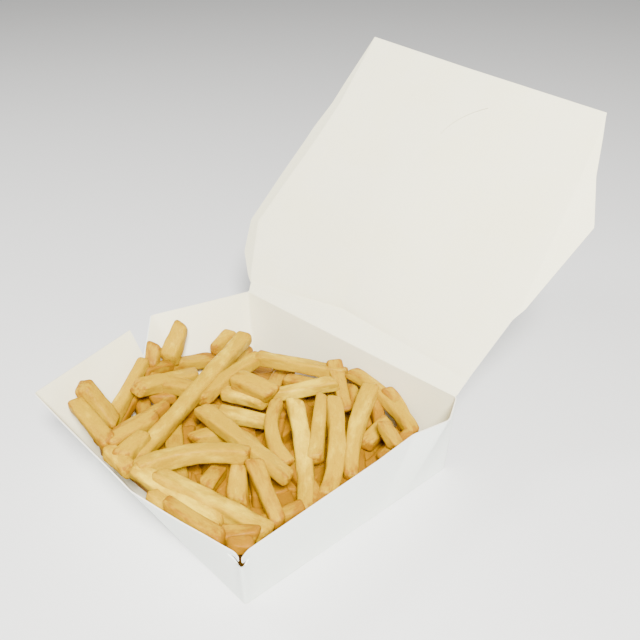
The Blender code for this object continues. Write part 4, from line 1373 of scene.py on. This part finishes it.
class CARTON_OT_stage(bpy.types.Operator):
    """Makes the camera, the lights, the surroundings and the floor"""

    bl_idname = "carton.stage"
    bl_label = "Stage"

    def execute(self, context):
        looks = context.scene.stage_looks
        camera_data = bpy.data.cameras.new("camera")
        camera_data.sensor_width = SENSOR
        camera_data.lens = SENSOR * PICTURE_FOCUS / (2.0 * PICTURE_CENTRE)
        camera_data.clip_start = NEAREST_SEEN
        camera = bpy.data.objects.new("camera", camera_data)
        context.scene.collection.objects.link(camera)
        camera.location = (np.array(EYE) + SHIFT) * MM
        camera.rotation_mode = "QUATERNION"
        camera.rotation_quaternion = Vector(SIGHT).to_track_quat("-Z", "Y")
        context.scene.camera = camera

        for name, place, size, share, colour in LIGHTS:
            data = bpy.data.lights.new(name, "AREA")
            data.shape = "DISK"
            data.size = size
            data.energy = share * looks.key_power
            data.color = colour
            light = bpy.data.objects.new(name, data)
            context.scene.collection.objects.link(light)
            light.location = place
            light.rotation_mode = "QUATERNION"
            light.rotation_quaternion = (Vector(LIGHT_AIM) - Vector(place)).to_track_quat("-Z", "Y")

        world = bpy.data.worlds.new("surroundings")
        world.use_nodes = True
        set_inputs(world.node_tree.nodes["Background"],
                   (("Color", SKY_COLOUR), ("Strength", looks.sky_strength)))
        context.scene.world = world

        half = 0.5 * looks.floor_size
        mesh = bpy.data.meshes.new("floor")
        corners = [(-half, -half, 0.0), (half, -half, 0.0), (half, half, 0.0), (-half, half, 0.0)]
        mesh.from_pydata(corners, [], [(0, 1, 2, 3)])
        finish, _, shader = new_material("floor_paint")
        paint = (*context.scene.carton_looks.floor_colour, 1.0)
        set_inputs(shader, (("Base Color", paint), ("Roughness", FLOOR_ROUGHNESS)))
        mesh.materials.append(finish)
        floor = bpy.data.objects.new("floor", mesh)
        context.scene.collection.objects.link(floor)
        return {"FINISHED"}


class CARTON_OT_tray(bpy.types.Operator):
    """Makes the tray: four flared walls of board with rounded folds, a gap and a corner notch"""

    bl_idname = "carton.tray"
    bl_label = "Tray"

    def execute(self, context):
        points, faces = tray_surface()
        tray = new_object("tray_walls", points, faces, board_finishes("outside"))
        add_board(tray, -1.0)
        finish_modifiers(tray)
        gap = [(GAP_PLACE, back, up) for back, up in GAP_CORNERS]
        cut(tray, [prism("wall_gap", gap, (0.0, 0.0, 0.0), (GAP_REACH, 0.0, 0.0)), corner_notch()])
        soften(tray, TRAY_CRISP)
        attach(tray, "base")
        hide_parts("carton_tray")
        return {"FINISHED"}


class CARTON_OT_lid(bpy.types.Operator):
    """Makes the lid: strip, bowed panel, side flaps, creases and slit"""

    bl_idname = "carton.lid"
    bl_label = "Lid"

    def execute(self, context):
        points, faces = lid_surface()
        lid = new_object("lid_panel", points, faces, board_finishes("inside"))
        merge_points(lid, MERGE_REACH)
        add_board(lid, -1.0)
        finish_modifiers(lid)
        cut(lid, [lid_slit()])
        soften(lid, LID_CRISP)
        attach(lid, "lid")
        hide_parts("carton_lid")
        return {"FINISHED"}


class CARTON_OT_hinge(bpy.types.Operator):
    """Makes the crease of board that joins the tray to the lid"""

    bl_idname = "carton.hinge"
    bl_label = "Hinge crease"

    def execute(self, context):
        points, faces = hinge_surface()
        crease = new_object("hinge_crease", points, faces, board_finishes("inside")[:1])
        soften(crease, HINGE_CRISP)
        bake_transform(crease)
        return {"FINISHED"}


class CARTON_OT_fries(bpy.types.Operator):
    """Makes the heap of fries, one mesh for each kind, and the lump under them"""

    bl_idname = "carton.fries"
    bl_label = "Fries"

    def execute(self, context):
        looks = context.scene.fry_looks
        pale, golden, brown = tuple(looks.pale), tuple(looks.golden), tuple(looks.brown)
        fries = laid_fries()
        kinds = (
            ("pale_fries", [fry for fry in fries if fry[2] < PALE_LIMIT]),
            ("golden_fries", [fry for fry in fries if PALE_LIMIT <= fry[2] < BROWN_LIMIT]),
            # Browned fries, together with fries given a browner tone as painted shade.
            ("browned_and_shaded_fries", [fry for fry in fries if fry[2] >= BROWN_LIMIT]),
            ("deep_fries", deep_fries() + low_fries()),
        )
        skin = fried_material("fried_potato_skin", pale, golden, brown)
        for number, (name, group) in enumerate(kinds):
            item = fry_object(name, group, skin, LOOK_SEED + number)
            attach(item, "base")
            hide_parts("fries")
        points, faces = lump_surface()
        lump = new_object("fries_below", points, faces, [skin])
        even = np.zeros(len(points))
        # The lump's brown tone is painted shade seen through the gaps.
        store_looks(lump, even + LUMP_SHADED_TONE, even, even, points)
        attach(lump, "base")
        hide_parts("fries")
        return {"FINISHED"}


class CARTON_PT_panel(bpy.types.Panel):
    """Lists the carton's settings and its operators"""

    bl_idname = "CARTON_PT_panel"
    bl_label = "Fries in a carton"
    bl_space_type = "VIEW_3D"
    bl_region_type = "UI"
    bl_category = "Fries"

    def draw(self, context):
        layout = self.layout
        for group in ("carton_looks", "fry_looks", "stage_looks"):
            settings = getattr(context.scene, group)
            for key in settings.bl_rna.properties.keys():
                if key not in ("rna_type", "name"):
                    layout.prop(settings, key)
        for operator in OPERATORS:
            layout.operator(operator.bl_idname)


SETTINGS = (("carton_looks", CartonLooks), ("fry_looks", FryLooks), ("stage_looks", StageLooks))
OPERATORS = (CARTON_OT_stage, CARTON_OT_tray, CARTON_OT_lid, CARTON_OT_hinge, CARTON_OT_fries)


def register():
    for key, settings in SETTINGS:
        bpy.utils.register_class(settings)
        setattr(bpy.types.Scene, key, bpy.props.PointerProperty(type=settings))
    for operator in OPERATORS:
        bpy.utils.register_class(operator)
    bpy.utils.register_class(CARTON_PT_panel)


def unregister():
    bpy.utils.unregister_class(CARTON_PT_panel)
    for operator in reversed(OPERATORS):
        bpy.utils.unregister_class(operator)
    for key, settings in reversed(SETTINGS):
        delattr(bpy.types.Scene, key)
        bpy.utils.unregister_class(settings)


def main():
    register()
    bpy.ops.carton.stage()
    bpy.ops.carton.tray()
    bpy.ops.carton.lid()
    bpy.ops.carton.hinge()
    bpy.ops.carton.fries()
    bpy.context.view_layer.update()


if __name__ == "__main__":
    main()
